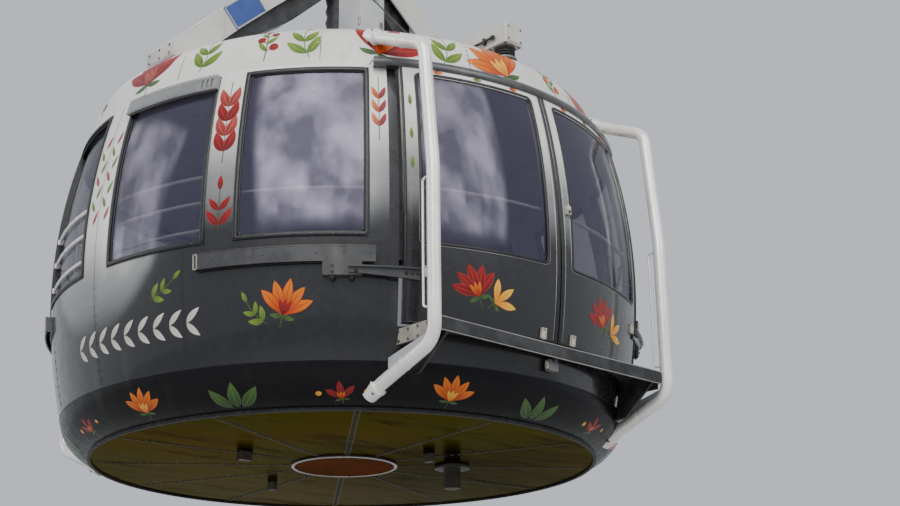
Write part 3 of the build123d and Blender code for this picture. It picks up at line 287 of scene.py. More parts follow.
def weathered(name, base, worn, rough, metal=0.0, coat=0.0, patch=3.0, grime=0.35):
    """Paint or metal with patches, rain streaks and a fine grain; gives back its finish."""
    made = Finish(name, rough=rough, metal=metal, coat=coat, coat_rough=0.12)
    patches = made.grade(made.noise(patch, 6.0), 0.35, 0.68)
    streaks = made.grade(made.noise(5.0, 5.0, place=made.stretch((1.0, 1.0, 0.09))), 0.55, 0.8)
    shade = made.mix(patches, base, worn)
    made.colour(made.mix(made.math("MULTIPLY", streaks, grime), shade, DUST))
    made.roughen(made.grade(made.noise(patch * 4, 5.0), 0.3, 0.7, rough * 0.75, min(1.0, rough * 1.35)))
    return made.bump(made.noise(220.0, 3.0), 0.12, 0.0006)


def level_fade(made, levels, colours, rise):
    """Colour that runs from dark at the bottom to light at the top, between three levels."""
    level = made.math("ADD", made.math("SUBTRACT", made.axis("Z"), SEAM_Z), rise)
    dark, middle, light = levels
    lower = made.mix(made.grade(level, dark, middle), colours[0], colours[1])
    return made.mix(made.grade(level, middle, light), lower, colours[2])


def gloss_wrap(name, levels=None, coat=0.6, painted_side_reflection=False, ior=1.42, painted_shade_scale=1.0):
    """Gloss charcoal wrap film, with an upward fade to white on pillars and door borders; a painted
    reflection can pale the wall's far sides, and a scale under one darkens the charcoal as painted shade.
    """
    made = Finish(name, rough=0.3, coat=coat, coat_rough=0.06, ior=ior)
    # Painted shade: a scale under one darkens the charcoal, used for the downward-facing belly.
    dark, worn = ([c * painted_shade_scale for c in colour] for colour in (CHARCOAL, WORN_CHARCOAL))
    base = made.mix(made.noise(1.4, 4.0), dark, worn)
    if levels:
        # Painted reflection: towards its far sides the wall fades to pale sooner, standing in for the
        # surround's reflection there.
        out = made.grade(made.math("ABSOLUTE", made.axis("X")), 2.36, 2.46) if painted_side_reflection else 0.0
        base = level_fade(made, levels, (CHARCOAL, GREY, WHITE), made.math("MULTIPLY", out, 0.62))
    dirt = made.grade(made.noise(4.0, 6.0, place=made.stretch((1.0, 1.0, 0.12))), 0.56, 0.82)
    made.colour(made.mix(made.math("MULTIPLY", dirt, 0.10), base, DUST))
    made.roughen(made.grade(made.noise(14.0, 5.0), 0.3, 0.75, 0.22, 0.38))
    ripple = made.math("ADD", made.noise(2.2, 2.0), made.math("MULTIPLY", made.noise(38.0, 2.0), 0.05))
    return made.bump(ripple, 0.10, 0.006)


def white_wrap(name):
    """Gloss off-white film over the roof, with rain streaks and dust on the top."""
    made = Finish(name, rough=0.35, coat=0.5, coat_rough=0.10)
    base = made.mix(made.grade(made.noise(1.1, 5.0), 0.35, 0.7), WHITE, (0.60, 0.57, 0.53))
    dirt = made.grade(made.noise(6.0, 6.0, place=made.stretch((1.0, 1.0, 0.35))), 0.55, 0.8)
    top = made.grade(made.axis("Z"), up(2.74), up(2.83), 0.35, 0.75)
    made.colour(made.mix(made.math("MULTIPLY", dirt, top), base, (0.30, 0.28, 0.24)))
    made.roughen(made.grade(made.noise(18.0, 4.0), 0.3, 0.7, 0.26, 0.5))
    return made.bump(made.noise(3.0, 3.0), 0.08, 0.004)


def tinted_glass():
    """Dark tinted, strongly reflecting panes."""
    made = Finish("tinted_glass", rough=0.03, ior=2.0, alpha=0.44)
    made.set("Specular Tint", (0.84, 0.80, 1.0, 1.0))
    made.colour(made.mix(made.noise(0.7, 2.0), (0.012, 0.009, 0.030), (0.028, 0.021, 0.056)))
    made.roughen(made.grade(made.noise(9.0, 4.0), 0.4, 0.8, 0.015, 0.04))
    return made.bump(made.noise(1.3, 1.0), 0.10, 0.012)


def rubber(name, base=(0.010, 0.010, 0.011), rough=0.6, dust=(0.045, 0.042, 0.040)):
    """Black rubber with dust."""
    made = Finish(name, rough=rough)
    made.colour(made.mix(made.grade(made.noise(25.0, 5.0), 0.45, 0.8), base, dust))
    made.roughen(made.grade(made.noise(60.0, 3.0), 0.3, 0.7, rough * 0.8, min(1.0, rough * 1.2)))
    return made.bump(made.noise(400.0, 2.0), 0.2, 0.0004)


def pan_metal():
    """Olive-brown polished sheet with drawn streaks and stains, and a painted shade that darkens it towards
    one side.
    """
    made = Finish("pan_sheet", rough=0.2, metal=1.0)
    made.set("Specular Tint", (0.34, 0.32, 0.24, 1.0))
    tones = made.grade(made.noise(0.9, 5.0), 0.35, 0.65)
    base = made.mix(tones, (0.150, 0.150, 0.078), (0.200, 0.140, 0.068))
    streaks = made.noise(2.5, 6.0, place=made.stretch((0.6, 3.5, 1.0)))
    stain = made.grade(streaks, 0.50, 0.75)
    base = made.mix(made.math("MULTIPLY", stain, 0.6), base, (0.020, 0.017, 0.010))
    spots = made.grade(made.noise(9.0, 8.0, 0.7), 0.60, 0.72)
    base = made.mix(made.math("MULTIPLY", spots, 0.45), base, (0.17, 0.155, 0.10))
    # Painted shade: the sheet darkens to near black near one point of the pan and clears over about two
    # metres.
    shade_reach = made.add("ShaderNodeVectorMath", operation="DISTANCE")
    made.feed(shade_reach, {0: made.place, 1: PAN_SHADE_CENTRE})
    shade = made.math("ADD", shade_reach.outputs["Value"], made.math("MULTIPLY", made.noise(1.6, 4.0), 0.9))
    made.colour(made.mix(made.grade(shade, 0.7, 2.3, 0.85, 0.0), base, (0.012, 0.011, 0.008)))
    made.roughen(made.grade(streaks, 0.3, 0.75, 0.10, 0.30))
    return made.bump(made.noise(1.6, 3.0), 0.25, 0.012)


def floor_sheet():
    """Studded rubber floor covering."""
    made = Finish("floor_covering", rough=0.6)
    cells = made.add("ShaderNodeTexVoronoi", feature="F1")
    made.feed(cells, {"Vector": made.place, "Scale": 34.0, "Randomness": 0.0})
    studs = made.grade(cells.outputs["Distance"], 0.24, 0.32, 1.0, 0.0)
    made.colour(made.mix(made.noise(3.0, 5.0), (0.06, 0.062, 0.066), (0.10, 0.10, 0.10)))
    return made.bump(studs, 0.6, 0.002)


def printed(name, foot, tip, line):
    """Printed motif whose colour runs from foot to tip, with veins and a thin outline."""
    made = Finish(name, rough=0.45, coat=0.12, coat_rough=0.1, ior=1.35)
    marks = made.add("ShaderNodeUVMap", uv_map=MOTIF_MAP).outputs[0]
    split = made.feed(made.add("ShaderNodeSeparateXYZ"), {0: marks})
    run, across = split.outputs["X"], split.outputs["Y"]
    side = made.math("MULTIPLY", made.math("ABSOLUTE", made.math("SUBTRACT", across, 0.5)), 2.0)
    slant = made.math("SUBTRACT", made.math("MULTIPLY", run, 6.0), made.math("MULTIPLY", side, 1.6))
    near = made.math("ABSOLUTE", made.math("SUBTRACT", made.math("FRACT", slant), 0.5))
    veins = made.math("MULTIPLY", made.grade(near, 0.0, 0.09, 1.0, 0.0), 0.35)
    veins = made.math("MAXIMUM", veins, made.grade(side, 0.03, 0.10, 0.8, 0.0))
    shade = made.mix(made.grade(run, 0.05, 0.95), foot, tip)
    shade = made.mix(veins, shade, line)
    shade = made.mix(made.grade(side, 0.84, 0.94), shade, line)
    wear = made.grade(made.noise(20.0, 5.0), 0.60, 0.85, 0.0, 0.25)
    made.colour(made.mix(wear, shade, DUST))
    made.roughen(made.grade(made.noise(30.0, 3.0), 0.3, 0.7, 0.28, 0.42))
    return made


MOTIF_MAP = "motif"
# Centre of the painted shade on the pan.
PAN_SHADE_CENTRE = (0.95, -0.35, up(PAN_FACE))
STEP_LEVELS_FADE = (0.95, 1.35, 1.95)
FINISHES = {
    "roof_paint": white_wrap("roof_paint"),
    # The wall's far sides are painted paler, a painted reflection.
    "wall_paint": gloss_wrap("wall_paint", STEP_LEVELS_FADE, painted_side_reflection=True),
    "portal_paint": gloss_wrap("portal_paint"),
    "leaf_paint": gloss_wrap("leaf_paint", STEP_LEVELS_FADE),
    # Painted shade: the belly is the wall's charcoal wrap at half its colour.
    "belly_paint": gloss_wrap("belly_paint", coat=0.0, ior=1.25, painted_shade_scale=0.5),
    "pan_sheet": pan_metal(),
    "rim_black": rubber("rim_black"),
    "frame_rubber": rubber("frame_rubber", (0.004, 0.004, 0.0045), 0.4, dust=(0.014, 0.013, 0.013)),
    "tinted_glass": tinted_glass(),
    "floor_covering": floor_sheet(),
    "mount_rubber": rubber("mount_rubber"),
    "sleeve_rubber": rubber("sleeve_rubber", (0.03, 0.03, 0.033)),
    "cable_black": rubber("cable_black", (0.012, 0.012, 0.012), 0.45),
}
PAINTS = (
    # name, base, worn, roughness, what else differs
    ("gutter_paint", (0.035, 0.035, 0.037), (0.07, 0.068, 0.065), 0.3, dict(coat=0.5)),
    ("vent_grey", (0.16, 0.165, 0.17), (0.22, 0.22, 0.215), 0.42),
    ("rail_metal", (0.90, 0.88, 0.85), (0.80, 0.78, 0.75), 0.26, dict(metal=0.15, grime=0.1)),
    ("floor_edging", (0.25, 0.25, 0.25), (0.33, 0.33, 0.32), 0.4, dict(metal=0.7)),
    ("frame_steel", (0.14, 0.14, 0.145), (0.20, 0.19, 0.18), 0.5, dict(metal=0.3)),
    ("carrier_black", (0.032, 0.032, 0.035), (0.052, 0.051, 0.052), 0.34, dict(coat=0.5)),
    ("hanger_paint", (0.56, 0.54, 0.50), (0.47, 0.45, 0.41), 0.45, dict(grime=0.45)),
    ("cabinet_grey", (0.36, 0.37, 0.38), (0.44, 0.44, 0.44), 0.42),
    ("hatch_paint", (0.52, 0.51, 0.48), (0.44, 0.43, 0.40), 0.45, dict(grime=0.5)),
    ("plate_blue", (0.012, 0.045, 0.22), (0.02, 0.06, 0.26), 0.35, dict(coat=0.4, grime=0.1)),
    ("fitting_metal", (0.06, 0.055, 0.045), (0.12, 0.10, 0.08), 0.45, dict(metal=0.6)),
    ("carriage_paint", (0.42, 0.42, 0.40), (0.33, 0.32, 0.30), 0.45, dict(grime=0.5)),
    ("pin_steel", (0.34, 0.33, 0.31), (0.24, 0.22, 0.20), 0.3, dict(metal=0.95, grime=0.5)),
    ("rocker_paint", (0.30, 0.31, 0.31), (0.22, 0.22, 0.21), 0.45, dict(grime=0.5)),
    ("roller_steel", (0.33, 0.32, 0.30), (0.22, 0.20, 0.18), 0.35, dict(metal=0.9)),
    ("tube_cream", (0.95, 0.93, 0.90), (0.84, 0.80, 0.74), 0.22, dict(metal=0.25, coat=0.5, grime=0.3)),
    ("step_dark", (0.012, 0.012, 0.013), (0.040, 0.040, 0.042), 0.5, dict(patch=7.0, grime=0.2)),
    ("lamp_housing", (0.50, 0.46, 0.38), (0.38, 0.35, 0.29), 0.35, dict(patch=15.0)),
    ("bead_metal", (0.50, 0.49, 0.47), (0.38, 0.37, 0.35), 0.3, dict(metal=0.8, grime=0.3)),
    ("bolt_steel", (0.26, 0.25, 0.24), (0.15, 0.13, 0.11), 0.4, dict(metal=0.85, patch=20.0)),
    ("dark_bolt", (0.020, 0.019, 0.017), (0.05, 0.045, 0.04), 0.45, dict(metal=0.4, patch=20.0)),
    ("end_plate", (0.36, 0.33, 0.28), (0.25, 0.23, 0.19), 0.45, dict(patch=9.0, grime=0.5)),
    ("lamp_face", (0.62, 0.58, 0.50), (0.50, 0.46, 0.38), 0.25, dict(coat=0.6, patch=15.0, grime=0.1)),
    ("pan_cover", (0.30, 0.13, 0.085), (0.20, 0.12, 0.070), 0.30, dict(metal=1.0, patch=2.0, grime=0.1)),
)
for paint, base, worn, rough, *more in PAINTS:
    FINISHES[paint] = weathered(paint, base, worn, rough, **dict(*more))
FINISHES["pan_cover"].set("Specular Tint", (0.30, 0.22, 0.16, 1.0))
PRINTS = {
    # name: colour at the foot, at the tip, and of the veins and outline
    "green": ((0.06, 0.12, 0.008), (0.14, 0.24, 0.018), (0.25, 0.34, 0.09)),
    "deep_green": ((0.02, 0.05, 0.010), (0.05, 0.12, 0.020), (0.12, 0.20, 0.06)),
    "red": ((0.11, 0.001, 0.003), (0.26, 0.003, 0.005), (0.40, 0.05, 0.035)),
    "orange": ((0.42, 0.035, 0.002), (0.68, 0.17, 0.005), (0.24, 0.012, 0.004)),
    "pink": ((0.20, 0.010, 0.012), (0.38, 0.045, 0.035), (0.46, 0.16, 0.11)),
    "yellow": ((0.72, 0.24, 0.010), (0.80, 0.46, 0.05), (0.50, 0.12, 0.01)),
    "cream": ((0.50, 0.47, 0.40), (0.64, 0.61, 0.54), (0.36, 0.33, 0.28)),
    "stem": ((0.05, 0.08, 0.015), (0.08, 0.12, 0.02), (0.05, 0.08, 0.015)),
}
for name, colours in PRINTS.items():
    FINISHES["print_" + name] = printed("print_" + name, *colours)


def dress_nodes():
    """Give every CAD node the finish of its material slot."""
    slots = {m["slot"] for m in frame["record"]["materials"]}
    for node in NODES.values():
        for place in node.material_slots:
            name = place.material.name.split(".")[0]
            if name in slots:
                place.material = FINISHES[name].material


dress_nodes()

# Edges of the heavy plates and boxes, rounded as rolled and folded steel is
ROUNDED = {
    0.006: ("mast", "roof_beam"),
    0.005: ("hanger_leg_fore", "hanger_leg_aft"),
    0.004: ("roof_cabinet",),
    0.003: ("carriage_cheek_right", "carriage_cheek_left", "door_step_front", "door_step_rear"),
}


def rounded(target, width):
    """Round an object's sharp edges."""
    rounding = target.modifiers.new("edges", "BEVEL")
    rounding.width = width
    rounding.segments = 2
    rounding.limit_method = "ANGLE"
    rounding.angle_limit = radians(50)


for edge, names in ROUNDED.items():
    for node_name in names:
        rounded(NODES[node_name], edge)


def rim(centre, axis, radius, count=40, start=0.0):
    """Places round a circle, with normals along its axis."""
    side = axis.orthogonal().normalized()
    other = axis.cross(side)
    turns = [radians(start) + 2 * pi * k / count for k in range(count)]
    return [(centre + (side * cos(t) + other * sin(t)) * radius, axis) for t in turns]


def hoop(centre, axis, radius, count=40):
    """Places round a bar, with normals out from it."""
    return [(point, (point - centre).normalized()) for point, _ in rim(centre, axis, radius, count)]


CORNERS = ((-1, -1), (1, -1), (1, 1), (-1, 1))


class Form:
    """Points and faces gathered into one mesh piece."""

    def __init__(self, name):
        self.name = name
        self.points = []
        self.faces = []
        self.marks = []

    def grid(self, rows, marks=None, closed=False):
        """Quads between rows of points; closed rows are rings."""
        start, across = len(self.points), len(rows[0])
        for row in rows:
            self.points.extend(row)
        self.marks.extend(marks or [(0.0, 0.0)] * (across * len(rows)))
        for i in range(len(rows) - 1):
            for j in range(across if closed else across - 1):
                near, far = start + i * across + j, start + i * across + (j + 1) % across
                self.faces.append((near, far, far + across, near + across))
        return start

    def cap(self, start, count):
        """Face over a ring of points."""
        self.faces.append(tuple(range(start, start + count)))

    def stud(self, place, radius, height, sides=8):
        """Domed head on a surface; six sides make a nut."""
        point, normal = place
        side = normal.orthogonal().normalized()
        other = normal.cross(side)
        rows = []
        for wide, tall in ((1.0, 0.0), (1.0, 1.0)) if sides == 6 else ((1.0, 0.0), (0.9, 0.6), (0.5, 1.0)):
            rows.append([])
            for t in (2 * pi * k / sides for k in range(sides)):
                out = (side * cos(t) + other * sin(t)) * radius * wide
                rows[-1].append(point + out + normal * height * tall)
        start = self.grid(rows, closed=True)
        self.cap(start + sides * (len(rows) - 1), sides)

    def block(self, centre, axes, size):
        """Box about a centre, with its edges along three unit vectors."""
        right, ahead, top = (a * s / 2 for a, s in zip(axes, size))
        rows = [[centre + right * x + ahead * y + top * z for x, y in CORNERS] for z in (-1, 1)]
        start = self.grid(rows, closed=True)
        self.cap(start, 4)
        self.cap(start + 4, 4)

    def plate(self, centre, axes, size, corner=0.006, edge=0.0015, turns=3):
        """Plate with rounded corners that stands on its centre; the third axis points out of its face."""
        half_x, half_y = size[0] / 2 - corner, size[1] / 2 - corner
        loop = []
        for quarter, (sx, sy) in enumerate(((1, 1), (-1, 1), (-1, -1), (1, -1))):
            for k in range(turns + 1):
                turn = pi / 2 * (quarter + k / turns)
                loop.append((sx * half_x + corner * cos(turn), sy * half_y + corner * sin(turn)))
        rows = []
        for shrink, height in ((0.0, -0.001), (0.0, size[2] - edge), (edge, size[2])):
            wide, tall = axes[0] * (1 - 2 * shrink / size[0]), axes[1] * (1 - 2 * shrink / size[1])
            rows.append([centre + wide * x + tall * y + axes[2] * height for x, y in loop])
        start = self.grid(rows, closed=True)
        self.cap(start, len(loop))
        self.cap(start + 2 * len(loop), len(loop))

    def bolt(self, place, radius):
        """Hexagon head on a washer."""
        point, normal = place
        self.stud(place, radius * 1.6, radius * 0.3, 10)
        self.stud((point + normal * radius * 0.28, normal), radius, radius * 0.8, 6)

    def bolt_circle(self, centre, axis, reach, count, radius, start=0.0):
        """Bolts at even turns round an axis."""
        for point, _ in rim(centre, axis, reach, count, start):
            self.bolt((point, axis), radius)

    def sweep(self, path, section, loop=False):
        """Section of (across, out) offsets carried along places with normals."""
        count, rows = len(path), []
        for i, (point, normal) in enumerate(path):
            before = path[i - 1][0] if loop or i else point
            after = path[(i + 1) % count][0] if loop or i < count - 1 else point
            side = normal.cross((after - before).normalized()).normalized()
            rows.append([point + side * a + normal * h for a, h in section])
        if loop:
            rows.append(list(rows[0]))
        start = self.grid(rows, closed=True)
        if not loop:
            self.cap(start, len(section))
            self.cap(start + len(section) * (len(rows) - 1), len(section))

    def pipe(self, line, radius, sides=10, loop=False):
        """Round bar along a line of points."""
        normal = (line[1] - line[0]).orthogonal().normalized()
        path = []
        for i, point in enumerate(line):
            step = line[min(i + 1, len(line) - 1)] - line[max(i - 1, 0)]
            normal = (normal - step * normal.dot(step) / step.length_squared).normalized()
            path.append((point, normal))
        turns = [2 * pi * k / sides for k in range(sides)]
        self.sweep(path, [(radius * cos(t), radius * sin(t)) for t in turns], loop)

    def bar(self, middle, half, radius, sides):
        """Short straight bar about its middle, with half its length as a vector."""
        self.pipe([middle - half, middle, middle + half], radius, sides)

    def piece(self, slot, finish=None, body="cabin", solid=True, bevel=0.0):
        """The mesh as a scene piece on a body; a finish is named where it isn't the slot's own."""
        mesh = bpy.data.meshes.new(self.name)
        mesh.from_pydata([tuple(p) for p in self.points], [], self.faces)
        if solid:
            shell = bmesh.new()
            shell.from_mesh(mesh)
            bmesh.ops.remove_doubles(shell, verts=shell.verts, dist=1e-6)
            bmesh.ops.recalc_face_normals(shell, faces=shell.faces)
            shell.to_mesh(mesh)
            shell.free()
        else:
            layer = mesh.uv_layers.new(name=MOTIF_MAP)
            for corner in mesh.loops:
                layer.data[corner.index].uv = self.marks[corner.vertex_index]
        mesh.shade_smooth()
        mesh.set_sharp_from_angle(angle=radians(40))
        mesh.materials.append(FINISHES[finish or slot].material)
        made = placed(self.name, mesh)
        if bevel:
            rounded(made, bevel)
        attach(made, body)
        return made


def bead(width, height, count=6, foot=-0.002):
    """Half-round section that stands on a surface."""
    arc = [(-width / 2 * cos(pi * k / count), height * sin(pi * k / count)) for k in range(count + 1)]
    return [(-width / 2, foot)] + arc + [(width / 2, foot)]


def flat(width, height, foot=-0.002):
    """Flat strip section."""
    return [(-width / 2, foot), (-width / 2, height), (width / 2, height), (width / 2, foot)]


def wall_line(corners, proud, closed=False, step=0.07):
    """Places along straight runs between (bearing, level) corners of the wall."""
    ends = corners[1:] + corners[:1] if closed else corners[1:]
    places = []
    for (b0, l0), (b1, l1) in zip(corners, ends):
        count = max(1, ceil(hypot(radians(b1 - b0) * WIDEST[0], l1 - l0) / step))
        places += [(b0 + (b1 - b0) * k / count, l0 + (l1 - l0) * k / count) for k in range(count)]
    if not closed:
        places.append(corners[-1])
    return [wall(bearing, level, proud) for bearing, level in places]


def opening_loop(span, levels, proud, corner=0.03, turns=4):
    """Places round an opening of the wall with rounded corners."""
    wide = degrees(corner / WIDEST[0])
    corners = []
    for bearing, level, start in (
        (span[1] - wide, levels[0] + corner, -90),
        (span[1] - wide, levels[1] - corner, 0),
        (span[0] + wide, levels[1] - corner, 90),
        (span[0] + wide, levels[0] + corner, 180),
    ):
        for k in range(turns + 1):
            turn = radians(start + 90 * k / turns)
            corners.append((bearing + wide * cos(turn), level + corner * sin(turn)))
    return wall_line(corners, proud, closed=True)


def widened(span, levels, amount):
    """An opening's bearings and levels, moved out by an amount."""
    wide = degrees(amount / WIDEST[0])
    return (span[0] - wide, span[1] + wide), (levels[0] - amount, levels[1] + amount)


# Openings of the wall, as bearings counted from each door's middle
LEAF_SPAN = (0.12, 30.3)
LEAF_LEVELS = (0.262, 2.312)
DOOR_GLASS = (3.0, 27.4)
DOOR_GLASS_LEVELS = (0.85, 2.245)
FIXED_WINDOW = (35.8, 58.8)
OPENING_WINDOW = (64.1, 86.1)
WINDOW_LEVELS = (0.89, 2.31)
FRAME_WIDTH = 0.034
FRAME_PROUD = 0.008
FRAME_BEAD = bead(FRAME_WIDTH, 0.005)
GLASS_LIP = bead(0.014, 0.007)
GLASS_SUNK = -0.008
DOOR_GLASS_SEAL = bead(0.024, 0.006)
DOOR_GLASS_LINE = bead(0.004, 0.002, 3)
CARRIER_SPAN = (34.8, 65.5)
CARRIER_LEVELS = (0.69, 0.81)
CARRIER_PROUD = 0.050
# Door bearing and side; the opening window has bars on a positive side, and a vent header on the other
QUARTERS = ((0, 1), (0, -1), (180, -1), (180, 1))


def spaced(span, count):
    """Even places over a span, half a pitch in from its ends."""
    return [span[0] + (span[1] - span[0]) * (k + 0.5) / count for k in range(count)]


def spread(door, side, span):
    """A span counted from a door's middle, as rising bearings."""
    return (door + span[0], door + span[1]) if side > 0 else (door - span[1], door - span[0])


def window_trims():
    """Rubber beads over the window frames, glass lips and the door glass seals."""
    frames, lips, edges = Form("window_beads"), Form("glass_lips"), Form("glass_edges")
    for door, side in QUARTERS:
        for window in (FIXED_WINDOW, OPENING_WINDOW):
            span, levels = widened(spread(door, side, window), WINDOW_LEVELS, -FRAME_WIDTH / 2)
            loop = opening_loop(span, levels, FRAME_PROUD, corner=0.02)
            frames.sweep(loop, FRAME_BEAD, loop=True)
            span, levels = widened(span, levels, -FRAME_WIDTH / 2 - 0.003)
            lips.sweep(opening_loop(span, levels, GLASS_SUNK, corner=0.03), GLASS_LIP, loop=True)
        span = spread(door, side, DOOR_GLASS)
        loop = opening_loop(span, DOOR_GLASS_LEVELS, LEAF_PROUD, corner=0.04)
        frames.sweep(loop, DOOR_GLASS_SEAL, loop=True)
        wider, levels = widened(span, DOOR_GLASS_LEVELS, 0.0145)
        edges.sweep(opening_loop(wider, levels, LEAF_PROUD, corner=0.05), DOOR_GLASS_LINE, loop=True)
    frames.piece("frame_rubber")
    lips.piece("frame_rubber")
    edges.piece("rail_metal", "bead_metal")


# Upright seals as place and width, and the pale line, all from the leaf's inner edge
LEAF_SEALS = ((LEAF_SPAN[0] + 0.36, 0.030), (LEAF_SPAN[1] - 0.28, 0.022))
LEAF_LINE = LEAF_SPAN[0] + 1.0
LEAF_SILL = (LEAF_SPAN[0] + 0.6, LEAF_SPAN[1] - 0.5)


def leaf_seals():
    """Rubber along the edges of the door leaves, and a pale line beside it."""
    seals, lines = Form("leaf_seals"), Form("leaf_lines")
    low, high = LEAF_LEVELS
    for door, side in QUARTERS:
        for place, width in LEAF_SEALS:
            bearing = door + side * place
            line = wall_line([(bearing, low + 0.006), (bearing, high - 0.02)], LEAF_PROUD)
            seals.sweep(line, bead(width, 0.009))
        bearing = door + side * LEAF_LINE
        line = wall_line([(bearing, low + 0.03), (bearing, high - 0.02)], LEAF_PROUD)
        lines.sweep(line, bead(0.005, 0.003, 4))
        sill = [(end, low + 0.012) for end in spread(door, side, LEAF_SILL)]
        seals.sweep(wall_line(sill, LEAF_PROUD), bead(0.020, 0.007))
    seals.piece("frame_rubber")
    lines.piece("rail_metal", "bead_metal")


# Half width in degrees, and each bead's radius and level
GUTTER_REACH = 35.0
# The upper bead's pale metal is a painted highlight, and the lower bead's black rubber a painted shadow
# under the gutter's lip.
GUTTER_HIGHLIGHT = (2.397, 2.362)
GUTTER_SHADOW = (2.392, 2.320)


def gutter_lips():
    """Pale upper bead of the door gutters as a painted highlight, and dark lower bead as a painted shadow
    under the gutter's lip.
    """
    pale, dark = Form("gutter_lines"), Form("gutter_seals")
    for door in (0, 180):
        turns = [door - GUTTER_REACH + 2 * GUTTER_REACH * k / 50 for k in range(51)]
        for form, (radius, level), section in (
            (pale, GUTTER_HIGHLIGHT, bead(0.009, 0.003, 4)),
            (dark, GUTTER_SHADOW, bead(0.014, 0.004, 4)),
        ):
            form.sweep([(outward(b) * radius + UP * up(level), outward(b)) for b in turns], section)
    # Pale beads paint the highlight, black beads the shadow under the lip.
    pale.piece("rail_metal", "bead_metal")
    dark.piece("frame_rubber")


# Heads as radius, height and number of sides
WALL_RIVET = (0.0045, 0.0018, 6)
PAN_RIVET = (0.014, 0.006)
COVER_BOLT = (0.010, 0.006, 6)
LAMP_SCREW = (0.0035, 0.002, 8)
CARRIER_SCREW = (0.006, 0.003, 8)
CLAMP_SCREW = (0.0045, 0.003, 8)
VENT_SCREW = (0.005, 0.003, 8)
FRAME_SCREW = (0.0038, 0.002, 8)
TREAD_STUD = (0.009, 0.003, 6)
ROOF_RIVET = (0.0055, 0.002, 6)
SIGN_SCREW = (0.006, 0.004, 10)

JOINT_BEARINGS = (-90, -68.2, -34.0, 34.0, 68.2, 90, 111.8, 146.0, 214.0, 248.2)


def body_seams():
    """Bead round the lower seam, joints of the wall panels and rows of small rivets."""
    seam, joints, rivets = Form("seam_bead"), Form("panel_joints"), Form("wall_rivets")
    turns = [360.0 * k / 180 for k in range(180)]
    seam.sweep([wall(b, 0.004) for b in turns], bead(0.007, 0.003, 4), loop=True)
    for bearing in JOINT_BEARINGS:
        high = 2.33 if abs(bearing) == 90 else WINDOW_LEVELS[0]
        joints.sweep(wall_line([(bearing, 0.02), (bearing, high)], 0.0), flat(0.004, 0.0008, -0.004))
        for k in range(11):
            for side in (-0.5, 0.5):
                rivets.stud(wall(bearing + side, 0.06 + 0.07 * k), *WALL_RIVET)
    seam.piece("frame_rubber")
    joints.piece("wall_paint", "frame_rubber")
    rivets.piece("wall_paint", "dark_bolt")


PAN_SEAMS = 12
PAN_SEAM_TURN = -7.0
RIVET_PITCH = 0.062
# Radii of the first and last rivet, and of a lap's ends and middle
PAN_RIVETS = (0.50, 2.06)
PAN_LAP = (0.47, 1.2, 2.09)
LAP_EDGE = 0.021
# Cover: radii with their drop under its face, the rim's radius, and the bolts' number and radius
COVER_FACE = -0.304
COVER_SKIN = ((0.001, 0.001), (0.36, 0.001), (0.425, 0.0015))
COVER_RIM = 0.436
COVER_BOLTS = (16, 0.40)


def pan_details():
    """Laps of the pan with their rivets and dark edges, and the centre cover with its rim and bolts."""
    rivets, laps, edges = Form("pan_rivets"), Form("pan_laps"), Form("pan_lap_edges")
    cover, ring = Form("pan_cover_skin"), Form("pan_cover_rim")
    first, last = PAN_RIVETS
    face = UP * up(PAN_FACE)
    for k in range(PAN_SEAMS):
        out = outward(PAN_SEAM_TURN + 360 / PAN_SEAMS * k)
        for n in range(int((last - first) / RIVET_PITCH)):
            rivets.stud((out * (first + RIVET_PITCH * n) + face, -UP), *PAN_RIVET)
        ends = [(out * r + face, -UP) for r in PAN_LAP]
        laps.sweep(ends, flat(0.036, 0.0016))
        for side in (-LAP_EDGE, LAP_EDGE):
            edges.sweep([(point + out.cross(-UP) * side, -UP) for point, _ in ends], flat(0.005, 0.0012))
    turns = [2 * pi * k / 64 for k in range(64)]
    rows = [[at(r * cos(t), r * sin(t), COVER_FACE - drop) for t in turns] for r, drop in COVER_SKIN]
    cover.grid(rows, closed=True)
    edge = [(at(COVER_RIM * cos(t), COVER_RIM * sin(t), COVER_FACE), -UP) for t in turns]
    ring.sweep(edge, bead(0.026, 0.007), loop=True)
    count, reach = COVER_BOLTS
    for k in range(count):
        place = outward(360 / count * k) * reach + UP * (up(COVER_FACE) - 0.001)
        rivets.stud((place, -UP), *COVER_BOLT)
    rivets.piece("fitting_metal", "dark_bolt")
    laps.piece("pan_sheet")
    cover.piece("fitting_metal", "pan_cover")
    ring.piece("fitting_metal", "bead_metal")
    edges.piece("pan_sheet", "frame_rubber")


def wall_axes(bearing, level):
    """Unit vectors along the wall, up it and out of it."""
    normal = wall(bearing, level)[1]
    side = along(bearing)
    return side, normal.cross(side).normalized(), normal


def pad(form, bearing, level, size, proud, crown):
    """Crowned patch in front of the wall."""
    rows = []
    for i in range(7):
        v = i / 3 - 1
        rows.append([])
        for j in range(7):
            u = j / 3 - 1
            rise = crown * (1 - u**4) * (1 - v**4)
            turn = bearing + degrees(u * size[0] / 2 / WIDEST[0])
            rows[-1].append(wall(turn, level + v * size[1] / 2, proud + rise)[0])
    form.grid(rows)


